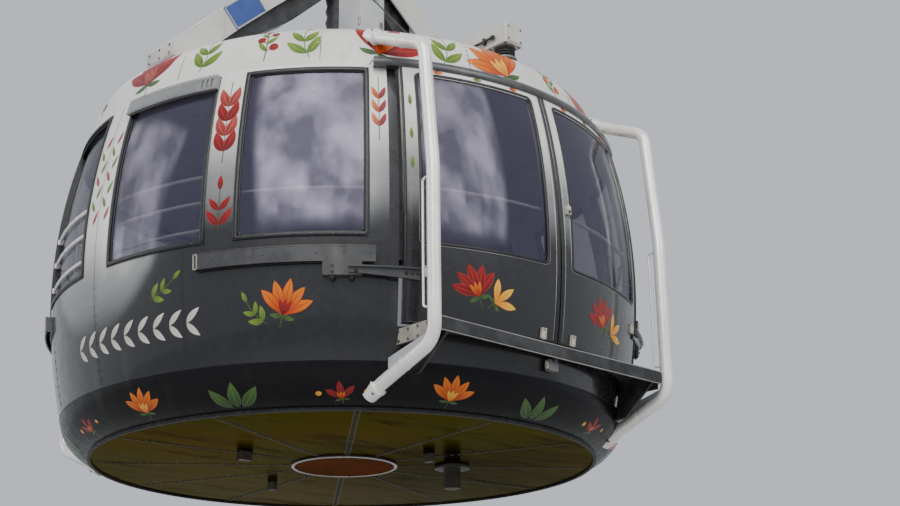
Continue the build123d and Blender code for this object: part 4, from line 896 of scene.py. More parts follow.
# Doors: the lamps and locks of the leaves, and what carries the leaves; a bolt's place is turn and level
LEAF_LAMPS = ((3.7, 0.306), (26.5, 0.632))
LAMP_WINDOW = (0.032, 0.064)
LAMP_FACE = 0.020
LENS_SUNK, LENS_CROWN = 0.004, 0.005
LAMP_SCREW_RISE = 0.036
LOCK_TURN, LOCK_LEVEL, LOCK_FACE = 2.0, 1.324, 0.026
LOCK_LENS = (0.036, 0.038, 0.004)
CHANNEL_SPAN = 0.9
CARRIER_SCREW_TURN, CARRIER_SCREW_LEVEL = 1.4, 0.75
TROLLEY_SPAN = (37.0, 43.4)
TROLLEY_LEVELS = (0.585, 0.6897)
TROLLEY_PROUD = 0.058
TROLLEY_BOLT_LEVELS = (0.615, 0.660)
TROLLEY_ROLLER = (0.024, 0.022)
TROLLEY_ROLLER_PROUD = 0.030
ARM_FACE = 0.071
ARM_BOLTS = ((27.95, 0.615), (28.9, 0.615), (29.85, 0.615), (38.0, 0.618))


def door_fittings():
    """Lenses and locks of the leaves, and the edges, channel ends, rollers and bolts of their carriers."""
    lenses, locks, bolts = Form("lamp_lenses"), Form("lock_parts"), Form("carrier_bolts")
    channels, rollers, edges = Form("channel_ends"), Form("trolley_rollers"), Form("carrier_edges")
    for door, side in QUARTERS:
        for turn, level in LEAF_LAMPS:
            bearing = door + side * turn
            pad(lenses, bearing, level, LAMP_WINDOW, LEAF_PROUD + LAMP_FACE - LENS_SUNK, LENS_CROWN)
            for rise in (-LAMP_SCREW_RISE, LAMP_SCREW_RISE):
                bolts.stud(wall(bearing, level + rise, LEAF_PROUD + LAMP_FACE), *LAMP_SCREW)
        ends = spread(door, side, CARRIER_SPAN)
        face = CARRIER_PROUD
        for level, width in ((CARRIER_LEVELS[1] - 0.004, 0.007), (CARRIER_LEVELS[0] + 0.004, 0.005)):
            edges.sweep(wall_line([(end, level) for end in ends], face), bead(width, 0.002, 4))
        for bearing in spaced(ends, 7):
            bolts.stud(wall(bearing + CARRIER_SCREW_TURN, CARRIER_SCREW_LEVEL, face), *CARRIER_SCREW)
        for bearing in spaced(spread(door, side, TROLLEY_SPAN), 2):
            for level in TROLLEY_BOLT_LEVELS:
                bolts.bolt(wall(bearing, level, TROLLEY_PROUD), 0.008)
            place, normal = wall(bearing, TROLLEY_LEVELS[0], TROLLEY_ROLLER_PROUD)
            radius, height = TROLLEY_ROLLER
            rollers.stud((place, -UP), radius, height, 20)
            rollers.stud((place - UP * height, -UP), 0.008, 0.008, 6)
        for turn, level in ARM_BOLTS:
            bolts.bolt(wall(door + side * turn, level, ARM_FACE), 0.009)
        end = spread(door, side, (CARRIER_SPAN[1] - CHANNEL_SPAN, CARRIER_SPAN[1]))
        end, levels = widened(end, CARRIER_LEVELS, -0.006)
        loop = opening_loop(end, levels, face, corner=0.006, turns=2)
        channels.sweep(loop, bead(0.010, 0.005, 4), loop=True)
    for door in (0, 180):
        bearing = door + LOCK_TURN
        face = LEAF_PROUD + LOCK_FACE
        axes = wall_axes(bearing, LOCK_LEVEL)
        lenses.plate(wall(bearing, LOCK_LEVEL + 0.013, face)[0], axes, LOCK_LENS, 0.003)
        barrel = wall(bearing, LOCK_LEVEL - 0.020, face)
        locks.stud(barrel, 0.013, 0.007, 16)
        locks.block(barrel[0] + barrel[1] * 0.009, axes, (0.003, 0.013, 0.008))
    lenses.piece("lamp_housing", "lamp_face")
    locks.piece("fitting_metal", "dark_bolt")
    bolts.piece("carrier_black", "dark_bolt")
    channels.piece("carrier_black", "end_plate")
    rollers.piece("carrier_black", "dark_bolt")
    edges.piece("carrier_black", "fitting_metal")


GUARD_BARS = (1.04, 1.26, 1.47)
GUARD_BAR_FACE = -0.015
CLAMP_TURN = 0.62
CLAMP_SIZE = (0.042, 0.044, 0.040)
CLAMP_SCREW_RISE = 0.013
VENT_LEVELS = (2.182, 2.300)
VENT_PROUD = 0.045


def window_fittings():
    """End clamps of the guard bars, and the screws and lips of the vent headers."""
    clamps, screws, lips = Form("bar_clamps"), Form("frame_screws"), Form("vent_lips")
    for door, side in QUARTERS:
        ends = spread(door, side, OPENING_WINDOW)
        if side > 0:
            for level in GUARD_BARS:
                for end, inwards in ((ends[0], 1), (ends[1], -1)):
                    bearing = end + inwards * CLAMP_TURN
                    centre = wall(bearing, level, GUARD_BAR_FACE)[0]
                    clamps.block(centre, wall_axes(bearing, level), CLAMP_SIZE)
                    for rise in (CLAMP_SCREW_RISE, -CLAMP_SCREW_RISE):
                        screws.stud(wall(bearing, level + rise, 0.005), *CLAMP_SCREW)
        else:
            low, high = VENT_LEVELS
            for level, width in ((low + 0.005, 0.008), (high - 0.004, 0.006)):
                lips.sweep(wall_line([(end, level) for end in ends], VENT_PROUD), bead(width, 0.003, 4))
            for bearing in spaced(ends, 7):
                for level in (low + 0.02, high - 0.02):
                    screws.stud(wall(bearing, level, VENT_PROUD), *VENT_SCREW)
        for window in (FIXED_WINDOW, OPENING_WINDOW):
            span, levels = widened(spread(door, side, window), WINDOW_LEVELS, -FRAME_WIDTH / 2)
            for bearing in spaced(span, 6):
                screws.stud(wall(bearing, levels[0], FRAME_PROUD + 0.0045), *FRAME_SCREW)
    clamps.piece("rail_metal", bevel=0.004)
    screws.piece("vent_grey", "bolt_steel")
    lips.piece("vent_grey")


STEP_HALF = 1.205
STEP_TOP = 0.245
STEP_FOOT = 0.145
STEP_FRONT = 2.5
NOSING = ((STEP_TOP, 0.0045), (STEP_FOOT + 0.002, 0.0035))
PLATE_FACE = 1.219
PLATE_MIDDLE = (2.075, 0.176)
PLATE_SIZE = (0.72, 0.116, 0.004)
TREAD = (23, 6, 0.050)  # columns on each side, rows, pitch
STEP_BOLTS = [0.30 - 0.1 * k for k in range(7)]
TREAD_START = 2.14
STEP_BOLT_RISE = 0.036
BRACKET_PLACE = (2.42, STEP_FOOT - 0.045)
BRACKET_SIZE = (0.10, 0.05, 0.09)
BRACKET_ARM = (0.06, 0.06, 0.05)
STEP_LAMP = (0.034, 0.060, 0.008)


def step_fittings():
    """Worn side plates, nosing and tread studs of the steps, and the lamp bracket under each."""
    plates, bolts, nosing = Form("step_plates"), Form("step_bolts"), Form("step_nosing")
    studs, brackets, lamps = Form("tread_studs"), Form("step_brackets"), Form("step_lamps")
    for way in (-1, 1):
        out = LENGTHWISE * way
        for side in (-1, 1):
            face = ACROSS * side
            middle = at(side * PLATE_FACE, way * PLATE_MIDDLE[0], PLATE_MIDDLE[1])
            plates.plate(middle, (out, UP, face), PLATE_SIZE, 0.012)
            for place in STEP_BOLTS:
                for rise in (-STEP_BOLT_RISE, STEP_BOLT_RISE):
                    bolts.bolt((middle + out * place + UP * rise + face * 0.004, face), 0.008)
        front = way * STEP_FRONT
        for level, radius in NOSING:
            nosing.bar(at(0.0, front - way * 0.002, level - radius), ACROSS * STEP_HALF, radius, 8)
        columns, rows, pitch = TREAD
        for i in range(-columns, columns + 1):
            for j in range(rows):
                x, y = i * pitch, way * (TREAD_START + j * pitch + (pitch / 2 if i % 2 else 0.0))
                studs.stud((at(x, y, STEP_TOP), UP), *TREAD_STUD)
        centre = at(0.0, way * BRACKET_PLACE[0], BRACKET_PLACE[1])
        brackets.block(centre, (ACROSS, out, UP), BRACKET_SIZE)
        brackets.block(centre - out * 0.05 + UP * 0.02, (ACROSS, out, UP), BRACKET_ARM)
        lamps.plate(centre - ACROSS * 0.051, (-out, UP, -ACROSS), STEP_LAMP, 0.012)
    plates.piece("step_dark", "end_plate")
    bolts.piece("step_dark", "bolt_steel")
    nosing.piece("step_dark", "bead_metal")
    studs.piece("step_dark")
    brackets.piece("frame_steel", bevel=0.004)
    lamps.piece("lamp_housing", "lamp_face")


TUBE_OFFSET = 1.270
TUBE_HEAD = ((1.790, 2.642), (2.412, 2.352))
TUBE_FOOT = ((1.810, -0.205), (2.500, 0.060))
TUBE_RADIUS = 0.050
SOCKET_RADIUS = 0.068
SOCKET_LENGTH = 0.112
SOCKET_SCREW_BACK = 0.035
TUBE_RINGS = (
    # from the socket's mouth, radius, width, height
    (-0.006, SOCKET_RADIUS, 0.012, 0.004),
    (0.004, TUBE_RADIUS, 0.012, 0.006),
    (0.30, TUBE_RADIUS, 0.010, 0.003),
)
WEB_HALF = 0.006
WEB = ((2.44, 0.075), (2.44, 0.125), (2.02, 0.020), (2.02, -0.060))


def tube_fittings():
    """Collars, screws and joint rings of the guide tubes, and a web under each step corner."""
    collars, screws, webs = Form("tube_collars"), Form("tube_screws"), Form("tube_webs")
    for side in (-1, 1):
        for way in (-1, 1):
            for root, bend in (TUBE_HEAD, TUBE_FOOT):
                foot = at(side * TUBE_OFFSET, way * root[0], root[1])
                run = (at(side * TUBE_OFFSET, way * bend[0], bend[1]) - foot).normalized()
                mouth = foot + run * SOCKET_LENGTH
                for place, radius, width, height in TUBE_RINGS:
                    collars.sweep(hoop(mouth + run * place, run, radius), bead(width, height, 4), loop=True)
                for point, normal in hoop(mouth - run * SOCKET_SCREW_BACK, run, SOCKET_RADIUS, 4):
                    screws.bolt((point, normal), 0.007)
            for x in (TUBE_OFFSET - WEB_HALF, TUBE_OFFSET + WEB_HALF):
                start = len(webs.points)
                webs.points += [at(side * x, way * y, level) for y, level in WEB]
                webs.marks += [(0.0, 0.0)] * len(WEB)
                webs.cap(start, len(WEB))
            start = len(webs.points) - 2 * len(WEB)
            for k in range(4):
                near, far = start + k, start + (k + 1) % 4
                webs.faces.append((near, far, far + 4, near + 4))
    collars.piece("tube_cream")
    screws.piece("tube_cream", "bolt_steel")
    webs.piece("cabinet_grey")


BEAM_HALF = 2.13
BEAM_LEVELS = (2.885, 3.06)
BEAM_SIDE = 0.10
BEAM_END = (0.176, 0.150, 0.006)
BEAM_END_BOLTS = (0.07, 0.056)
BEAM_FOOT_BOLTS = (1.925, 2.105)
SADDLE_TOP = 3.086
SADDLE_BOLTS = (0.25, 0.12)
MOUNTS = (
    # place along X, along Y, level of its top, level of the roof under it, number of folds
    (0.0, 2.02, 2.885, 2.768, 4),
    (0.0, -2.02, 2.885, 2.768, 4),
    (1.93, 0.0, 2.830, 2.789, 1),
    (-1.93, 0.0, 2.830, 2.789, 1),
)
CONDUIT = (
    # along Y, level
    (2.00, 2.955), (1.86, 2.952), (1.50, 2.950), (1.10, 2.950),
    (0.80, 2.945), (0.68, 2.925), (0.63, 2.880), (0.62, 2.860),
)
MOUNT_RADIUS = 0.075
CONDUIT_RADIUS, CONDUIT_OUT = 0.011, 0.020
CONDUIT_CLIPS = (1.90, 1.50, 1.10, 0.80)
CLIP_SIZE = (0.022, 0.060, 0.034)
CONDUIT_JOINTS = (
    # along Y, radius, length
    (1.72, 0.024, 0.05), (1.66, 0.019, 0.09), (2.00, 0.018, 0.03),
)
STAY_FOOT = (-26.7, 2.659, 2.205)
STAY_HEAD = (0.25, 0.20, 4.30)
STAY_RADIUS = 0.006
STAY_SCREW = (0.14, 0.012)


def roof_fittings():
    """Folds and plates of the mounts, beam ends, conduit, stays, and the seams and rivets of the roof."""
    folds, plates, bolts = Form("mount_folds"), Form("mount_plates"), Form("roof_bolts")
    ends, conduit = Form("beam_end_plates"), Form("beam_conduit")
    fittings, stays = Form("conduit_fittings"), Form("roof_stays")
    seams, rivets = Form("roof_seams"), Form("roof_rivets")
    for x, y, top, roof, count in MOUNTS:
        pitch = (top - roof - 0.020) / count
        for k in range(count):
            middle = at(x, y, roof + 0.010 + pitch * (k + 0.5))
            folds.sweep(hoop(middle, UP, MOUNT_RADIUS), bead(pitch * 0.8, 0.010, 6), loop=True)
        plates.sweep(hoop(at(x, y, top - 0.006), UP, 0.074, 32), flat(0.010, 0.016), loop=True)
        plates.sweep(hoop(at(x, y, roof + 0.006), UP, 0.076, 32), flat(0.014, 0.022), loop=True)
    for way in (-1, 1):
        out = LENGTHWISE * way
        cap = at(0.0, way * BEAM_HALF, (BEAM_LEVELS[0] + BEAM_LEVELS[1]) / 2)
        ends.plate(cap, (ACROSS, UP, out), BEAM_END, 0.012)
        reach, rise = BEAM_END_BOLTS
        for x in (-reach, reach):
            for z in (-rise, rise):
                bolts.bolt((cap + ACROSS * x + UP * z + out * BEAM_END[2], out), 0.007)
            for y in BEAM_FOOT_BOLTS:
                bolts.bolt((at(x * 1.1, way * y, BEAM_LEVELS[0]), -UP), 0.008)
        side = ACROSS * way
        line = [at(way * (BEAM_SIDE + CONDUIT_OUT), way * y, level) for y, level in CONDUIT]
        conduit.pipe(line, CONDUIT_RADIUS, 10)
        for y in CONDUIT_CLIPS:
            foot = at(way * BEAM_SIDE, way * y, 2.950)
            fittings.plate(foot, (out, UP, side), CLIP_SIZE, 0.008)
        for y, radius, length in CONDUIT_JOINTS:
            fittings.bar(at(way * (BEAM_SIDE + 0.024), way * y, 2.951), out * (length / 2), radius, 12)
        bearing, level, reach = STAY_FOOT
        heading = outward(bearing + 90 * (1 + way))
        foot = heading * reach + UP * up(level)
        head = at(way * STAY_HEAD[0], way * STAY_HEAD[1], STAY_HEAD[2])
        run = (head - foot).normalized()
        stays.pipe([foot, foot.lerp(head, 0.5), head], STAY_RADIUS, 8)
        for tip, step in ((foot, run), (head, -run)):
            length, radius = STAY_SCREW
            stays.pipe([tip, tip + step * length / 2, tip + step * length], radius, 10)
        bolts.bolt((foot - run * 0.004, heading), 0.014)
    length, lowest = ROOF.reach[-1], ROOF.reach[1] * 0.2
    reaches = [lowest + (length - lowest) * i / 24 for i in range(25)]
    for bearing in range(15, 375, 30):
        seams.sweep([ROOF.at(bearing, reach) for reach in reaches], flat(0.005, 0.0009, -0.004))
        for reach in reaches[2:24]:
            for turn in (-0.5, 0.5):
                rivets.stud(ROOF.at(bearing + turn, reach), *ROOF_RIVET)
    for reach, width in ((length, 0.020), (ROOF.reach[25], 0.010)):
        ring = [ROOF.at(2.5 * k, reach - 0.002) for k in range(144)]
        seams.sweep(ring, bead(width, 0.004, 4), loop=True)
    folds.piece("mount_rubber")
    plates.piece("frame_steel")
    bolts.piece("frame_steel", "bolt_steel")
    ends.piece("hanger_paint")
    conduit.piece("rim_black", "cable_black")
    fittings.piece("fitting_metal", "dark_bolt")
    stays.piece("fitting_metal", "dark_bolt")
    seams.piece("frame_rubber")
    rivets.piece("roof_paint")


LEG_TIP = 2.03
LEG_TIP_LEVELS = (2.83, 2.97)
LEG_END = (0.37, 0.116, 0.006)
LEG_END_BOLTS = ((-0.15, 0.0, 0.15), (-0.036, 0.036))
LEG_FOOT_BOLTS = (1.93, 0.15)
LEG_SIDE = 0.20
LEG_ROOT = (0.25, 4.70)
FLANGE_HALF = (0.31, 0.26)
FLANGE_LEVELS = (4.78, 4.86)
FLANGE_INSET = 0.030
FLANGE_PITCH = (0.125, 0.1)
# Near-black keel under each leg: painted shade, a dark mass put where the legs' undersides lie in shade.
SHADE_KEEL_HALF = 0.12
SHADE_KEEL = (
    # reach from the axis, level of its lower edge, level of its upper edge
    (1.82, 2.845, 2.90),
    (1.18, 3.32, 3.56),
    (0.75, 3.634, 3.96),
    (0.34, 4.03, 4.35),
    (0.20, 4.16, 4.40),
)
BLANK_CENTRE = (-1.33, 3.492)
BLANK_TILT = radians(43)
BLANK_SIZE = (0.42, 0.226)
BLANK_FACE = 0.208
BLANK_EDGE = 0.008


def hanger_fittings():
    """Welds and end plates of the legs, a near-black keel under each leg as painted shade, bolts of the
    saddle and the flange, and the sign's frame.
    """
    welds, bolts = Form("leg_welds"), Form("hanger_bolts")
    ends, frame_lines, shade_keels = Form("leg_end_plates"), Form("sign_frame"), Form("leg_keels")
    for side in (-1, 1):
        out = ACROSS * side
        cap = at(side * LEG_TIP, 0.0, sum(LEG_TIP_LEVELS) / 2)
        ends.plate(cap, (LENGTHWISE, UP, out), LEG_END, 0.010)
        for y in LEG_END_BOLTS[0]:
            for z in LEG_END_BOLTS[1]:
                bolts.bolt((cap + LENGTHWISE * y + UP * z + out * LEG_END[2], out), 0.008)
        for way in (-1, 1):
            tip = at(side * LEG_TIP, way * LEG_SIDE, LEG_TIP_LEVELS[1] - 0.012)
            root = at(side * LEG_ROOT[0], way * LEG_SIDE, LEG_ROOT[1] - 0.012)
            steps = [(tip.lerp(root, k / 6), LENGTHWISE * way) for k in range(7)]
            welds.sweep(steps, bead(0.008, 0.0025, 4))
        reach, aside = LEG_FOOT_BOLTS
        for y in (-aside, aside):
            bolts.bolt((at(side * reach, y, LEG_TIP_LEVELS[0]), -UP), 0.010)
        # The keel's section, finished near-black as painted shade.
        rows = []
        for reach, *levels in SHADE_KEEL:
            rows.append([at(side * reach, SHADE_KEEL_HALF * y, levels[z > 0]) for y, z in CORNERS])
        start = shade_keels.grid(rows, closed=True)
        shade_keels.cap(start, 4)
        shade_keels.cap(start + 4 * (len(SHADE_KEEL) - 1), 4)
    half_x, half_y = FLANGE_HALF
    for level, axis in ((FLANGE_LEVELS[1], UP), (FLANGE_LEVELS[0], -UP)):
        for k in range(5):
            for side in (-1, 1):
                x, y = FLANGE_PITCH[0] * (k - 2), FLANGE_PITCH[1] * (k - 2)
                bolts.bolt((at(x, side * (half_y - FLANGE_INSET), level), axis), 0.014)
                if 0 < k < 4:
                    bolts.bolt((at(side * (half_x - FLANGE_INSET), y, level), axis), 0.014)
    along_x, along_y = SADDLE_BOLTS
    for x in (-along_x, 0.0, along_x):
        for y in (-along_y, along_y):
            bolts.bolt((at(x, y, SADDLE_TOP), UP), 0.014)
    right = Vector((cos(BLANK_TILT), 0, sin(BLANK_TILT)))
    upward = Vector((-sin(BLANK_TILT), 0, cos(BLANK_TILT)))
    middle = at(BLANK_CENTRE[0], -BLANK_FACE, BLANK_CENTRE[1])
    half_w, half_h = (size / 2 - BLANK_EDGE for size in BLANK_SIZE)
    corners = [middle + right * half_w * a + upward * half_h * b for a, b in CORNERS]
    for first, last in zip(corners, corners[1:] + corners[:1]):
        frame_lines.sweep([(first.lerp(last, t), -LENGTHWISE) for t in (0.0, 0.5, 1.0)], flat(0.014, 0.003))
    for corner in corners:
        bolts.stud((corner.lerp(middle, 0.10) - LENGTHWISE * 0.001, -LENGTHWISE), *SIGN_SCREW)
    welds.piece("hanger_paint")
    bolts.piece("frame_steel", "bolt_steel")
    ends.piece("hanger_paint")
    frame_lines.piece("rail_metal", "bead_metal")
    # The keel's near-black finish is painted shade under the legs.
    shade_keels.piece("step_dark", bevel=0.006)


CABINET = (-0.43, -0.69)
CABINET_HALF = (0.15, 0.13)
CABINET_LEVELS = (2.908, 3.908)
CABINET_DOOR = (0.27, 0.94, 0.010)
CABINET_LID = (0.33, 0.29, 0.012)
CABINET_INSET = 0.12
LOUVRES, LOUVRE_PITCH, LOUVRE_HALF = 7, 0.022, 0.08
HANDLE = (0.028, 0.090, 0.010)
HANDLE_X = 0.105
HINGE_X, HINGE_HALF = 0.138, 0.035
HATCH = (0.52, 0.52)
HATCH_TOP = 2.942
HATCH_GRIP = (0.06, 0.035, 0.007)
HATCH_HINGE = (0.05, 0.09, 0.008)


def cabinet_fittings():
    """Door, hinges, louvres and handle of the roof cabinet, and the handle and hinges of the hatch."""
    doors, parts = Form("cabinet_door"), Form("cabinet_parts")
    x, y = CABINET
    front = y - CABINET_HALF[1]
    low, high = CABINET_LEVELS
    axes = (ACROSS, UP, -LENGTHWISE)
    doors.plate(at(x, front, (low + high) / 2), axes, CABINET_DOOR, 0.012, 0.003)
    for k in range(LOUVRES):
        level = high - CABINET_INSET - LOUVRE_PITCH * k
        slat = [at(x + LOUVRE_HALF * d, front - CABINET_DOOR[2], level) for d in (-1, 0, 1)]
        doors.sweep([(point, -LENGTHWISE) for point in slat], bead(0.012, 0.006, 5))
    for level in (low + CABINET_INSET, (low + high) / 2, high - CABINET_INSET):
        parts.bar(at(x - HINGE_X, front - 0.008, level), UP * HINGE_HALF, 0.008, 10)
    parts.plate(at(x + HANDLE_X, front - 0.010, low + 0.52), axes, HANDLE, 0.008)
    parts.stud((at(x + HANDLE_X, front - 0.020, low + 0.545), -LENGTHWISE), 0.009, 0.006, 16)
    for gland in (-0.08, 0.0, 0.08):
        parts.pipe([at(x + gland, y, low - d) for d in (0.0, 0.02, 0.035)], 0.014, 12)
    doors.plate(at(x, y, high), (ACROSS, LENGTHWISE, UP), CABINET_LID, 0.010, 0.003)
    hx, hy = HATCH
    grip = at(hx, hy - 0.17, HATCH_TOP)
    turns = [radians(15 * k) for k in range(13)]
    reach, rise, radius = HATCH_GRIP
    parts.pipe([grip + ACROSS * reach * cos(t) + UP * rise * sin(t) for t in turns], radius, 8)
    for side in (-1, 1):
        hinge = at(hx + side * 0.15, hy + 0.20, HATCH_TOP)
        parts.plate(hinge, (ACROSS, LENGTHWISE, UP), HATCH_HINGE, 0.006)
        parts.bar(hinge + LENGTHWISE * 0.056 - UP * 0.004, ACROSS * 0.03, 0.009, 10)
    doors.piece("cabinet_grey")
    parts.piece("frame_steel", "bolt_steel")


CHEEK_FACE = 0.188
TIE_PLACES = (-1.32, -0.62, 0.62, 1.32)
TIE_Z = 0.03
PIN_Z = -0.1
PIN_FACE = 0.208
ROCKER_PLACE = 1.04
ROCKER_FACE = 0.258
AXLE_Z = 0.14
AXLE_END = 0.441
ROLLER_TRACK = 0.375
ROLLER_REACH = 0.32
GROOVE_RADIUS = 0.140
PIN_BOLTS = (0.072, 6, 0.012)
ROCKER_CAP = 0.078
ROCKER_BOLTS = (0.050, 6, 0.009)


def carriage_fittings():
    """Nuts of the ties, caps of the pins and axles, and the liner in each roller's groove."""
    nuts, caps = Form("carriage_nuts"), Form("rocker_caps")
    for way, side_name in ((-1, "right"), (1, "left")):
        out = LENGTHWISE * way
        for x in TIE_PLACES:
            nuts.bolt((Vector((x, way * CHEEK_FACE, TIE_Z)), out), 0.036)
        nuts.bolt_circle(Vector((0, way * PIN_FACE, PIN_Z)), out, *PIN_BOLTS)
        for end, end_name in ((1, "fore"), (-1, "aft")):
            centre = Vector((end * ROCKER_PLACE, way * ROCKER_FACE, AXLE_Z))
            caps.sweep(rim(centre, out, ROCKER_CAP), bead(0.016, 0.006, 5), loop=True)
            caps.bolt_circle(centre, out, *ROCKER_BOLTS)
            for place, place_name in ((1, "outer"), (-1, "inner")):
                x = end * (ROCKER_PLACE + place * ROLLER_REACH)
                nuts.bolt((Vector((x, way * AXLE_END, AXLE_Z)), out), 0.026)
                liner = Form(f"liner_{end_name}_{place_name}_{side_name}")
                axle = Vector((x, way * ROLLER_TRACK, AXLE_Z))
                liner.sweep(hoop(axle, LENGTHWISE, GROOVE_RADIUS, 64), bead(0.026, 0.002, 4), loop=True)
                body = f"roller_{end_name}_{place_name}_{side_name}"
                liner.piece("frame_rubber", body=body)
    nuts.piece("pin_steel", "bolt_steel", body="carriage")
    caps.piece("rocker_paint", body="carriage")


LIFT = 0.0012
PAINT = {name: Form("motifs_" + name) for name in PRINTS}


def wall_ground(bearing, level, proud=0.0):
    """Local places on the wall, to the right and up from a bearing and level."""
    return lambda x, y, lift: wall(bearing + degrees(x / WIDEST[0]), level + y, proud + lift)


def roof_ground(bearing, distance):
    """The same on the roof, from a distance up its section."""
    return lambda x, y, lift: ROOF.at(bearing + degrees(x / SHOULDER[0]), max(0.0, distance + y), lift)


def belly_ground(bearing, distance):
    """The same on the belly, from a distance up its section."""

    def place(x, y, lift):
        reach = min(BELLY.reach[-1], max(0.0, distance + y))
        return BELLY.at(bearing + degrees(x / PAN_EDGE[0]), reach, lift)

    return place


def strip(colour, ground, line, halves, lift=LIFT, cells=4):
    """Printed shape along a line of a ground, with its half widths."""
    rows, marks = [], []
    for i, ((x, y), half) in enumerate(zip(line, halves)):
        before, after = line[max(i - 1, 0)], line[min(i + 1, len(line) - 1)]
        run = hypot(after[0] - before[0], after[1] - before[1])
        side = ((after[1] - before[1]) / run, -(after[0] - before[0]) / run)
        shares = [2 * k / cells - 1 for k in range(cells + 1)]
        rows.append([ground(x + side[0] * half * s, y + side[1] * half * s, lift)[0] for s in shares])
        marks += [(i / (len(line) - 1), (s + 1) / 2) for s in shares]
    PAINT[colour].grid(rows, marks)


def bent_line(foot, heading, length, bend=0.0, count=10):
    """Points along a run that turns by a bend in degrees; the heading is counted from the right."""
    points, step = [foot], length / count
    for k in range(count):
        turn = radians(heading + bend * (k + 0.5) / count)
        points.append((points[-1][0] + step * cos(turn), points[-1][1] + step * sin(turn)))
    return points


def leaf(colour, ground, foot, heading, length, width, bend=0.0, lift=LIFT, fullness=0.85):
    """Pointed leaf or petal from its foot."""
    line = bent_line(foot, heading, length, bend)
    shares = (k / (len(line) - 1) for k in range(len(line)))
    halves = [width / 2 * max(0.015, sin(pi * share**fullness)) ** 0.85 for share in shares]
    strip(colour, ground, line, halves, lift)


def stem(ground, foot, heading, length, bend=0.0, width=0.007):
    """Thin printed stalk; gives back its line."""
    line = bent_line(foot, heading, length, bend, 14)
    strip("stem", ground, line, [width / 2] * len(line), LIFT * 0.6, 1)
    return line


def berry(colour, ground, centre, size):
    """Round berry."""
    line = [(centre[0] - size / 2 * cos(pi * k / 8), centre[1]) for k in range(9)]
    strip(colour, ground, line, [max(0.0002, size / 2 * sin(pi * k / 8)) for k in range(9)], LIFT * 1.5)


def leaf_spray(ground, foot, heading, length, pairs, colour="green", bend=20.0, size=0.42):
    """Curved stalk with leaves in pairs and one at its end."""
    line = stem(ground, foot, heading, length, bend)
    for k in range(pairs):
        joint = line[2 + int((len(line) - 4) * k / pairs)]
        turn = heading + bend * (k + 1) / (pairs + 1)
        shrink = length * size * (1.0 - 0.35 * k / pairs)
        for side in (-1, 1):
            lift = LIFT * (1.0 + 0.1 * side)
            leaf(colour, ground, joint, turn + side * 48, shrink, shrink * 0.38, side * -18, lift)
    reach = length * size
    leaf(colour, ground, line[-1], heading + bend, reach * 0.75, reach * 0.28, 0.0, LIFT * 1.2)


def bud_fan(colour, ground, foot, heading, size, petals=5, heart=None):
    """Fan of pointed petals over a pair of small leaves, on a short stalk."""
    stalk, turn = size * 0.35, radians(heading)
    stem(ground, (foot[0] - stalk * cos(turn), foot[1] - stalk * sin(turn)), heading, stalk)
    for k in range(petals):
        lean = (k - (petals - 1) / 2) * 118 / petals
        reach = size * (1.0 - 0.10 * abs(lean) / 50)
        lift = LIFT * (1.0 + 0.08 * k)
        leaf(colour, ground, foot, heading + lean, reach, size * 0.30, lean * 0.25, lift, 1.25)
    if heart:
        for k in (-1, 0, 1):
            leaf(heart, ground, foot, heading + 22 * k, size * 0.45, size * 0.13, 0.0, LIFT * 1.7, 1.1)
    for side in (-1, 1):
        low = heading + side * 112
        leaf("deep_green", ground, foot, low, size * 0.36, size * 0.13, side * -30, LIFT * 1.6)


def berry_twig(ground, foot, heading, length, colour="red", size=0.046):
    """Upright twig with berries up its length and slim leaves between them."""
    line = stem(ground, foot, heading, length * 1.15, 14.0, 0.009)
    for k, share in enumerate((0.30, 0.52, 0.74, 1.0)):
        joint = line[round((len(line) - 1) * share)]
        side = 1 if k % 2 else -1
        tip = joint if share == 1.0 else stem(ground, joint, heading + side * 52, length * 0.22)[-1]
        berry(colour, ground, tip, size * (1.0 - 0.08 * k))
        reach = length * (0.42 - 0.06 * k)
        leaf("green", ground, joint, heading - side * 46, reach, length * 0.13, side * 14)


def roof_motifs():
    """Garland on the roof band, repeated behind each door."""
    for door in (0, 180):
        for turn, kind, colour, heart, lean in (
            (-84, "fan", "red", "pink", 96),
            (-70, "spray", "green", None, 64),
            (-56, "berries", "red", None, 84),
            (-47, "spray", "green", None, 118),
            (-34, "fan", "red", "orange", 62),
            (-21, "spray", "green", None, 60),
            (-6, "fan", "orange", "yellow", 118),
            (9, "berries", "orange", None, 96),
            (20, "fan", "orange", "red", 66),
            (33, "spray", "green", None, 118),
            (47, "fan", "pink", "red", 88),
            (61, "spray", "green", None, 62),
            (75, "berries", "red", None, 92),
        ):
            ground = roof_ground(door + turn, 0.075)
            if kind == "fan":
                bud_fan(colour, ground, (0.0, 0.05), lean, 0.42, heart=heart)
            elif kind == "spray":
                leaf_spray(ground, (0.0, 0.0), lean, 0.36, 2, colour, bend=150 - 1.65 * lean, size=0.58)
            else:
                berry_twig(ground, (0.0, 0.0), lean, 0.31, colour, 0.075)


# Middles of the pillar between two windows, of the post beside the door, and of the strip at the side
PILLAR, POST, SIDE_STRIP = 61.45, 34.1, 88.2


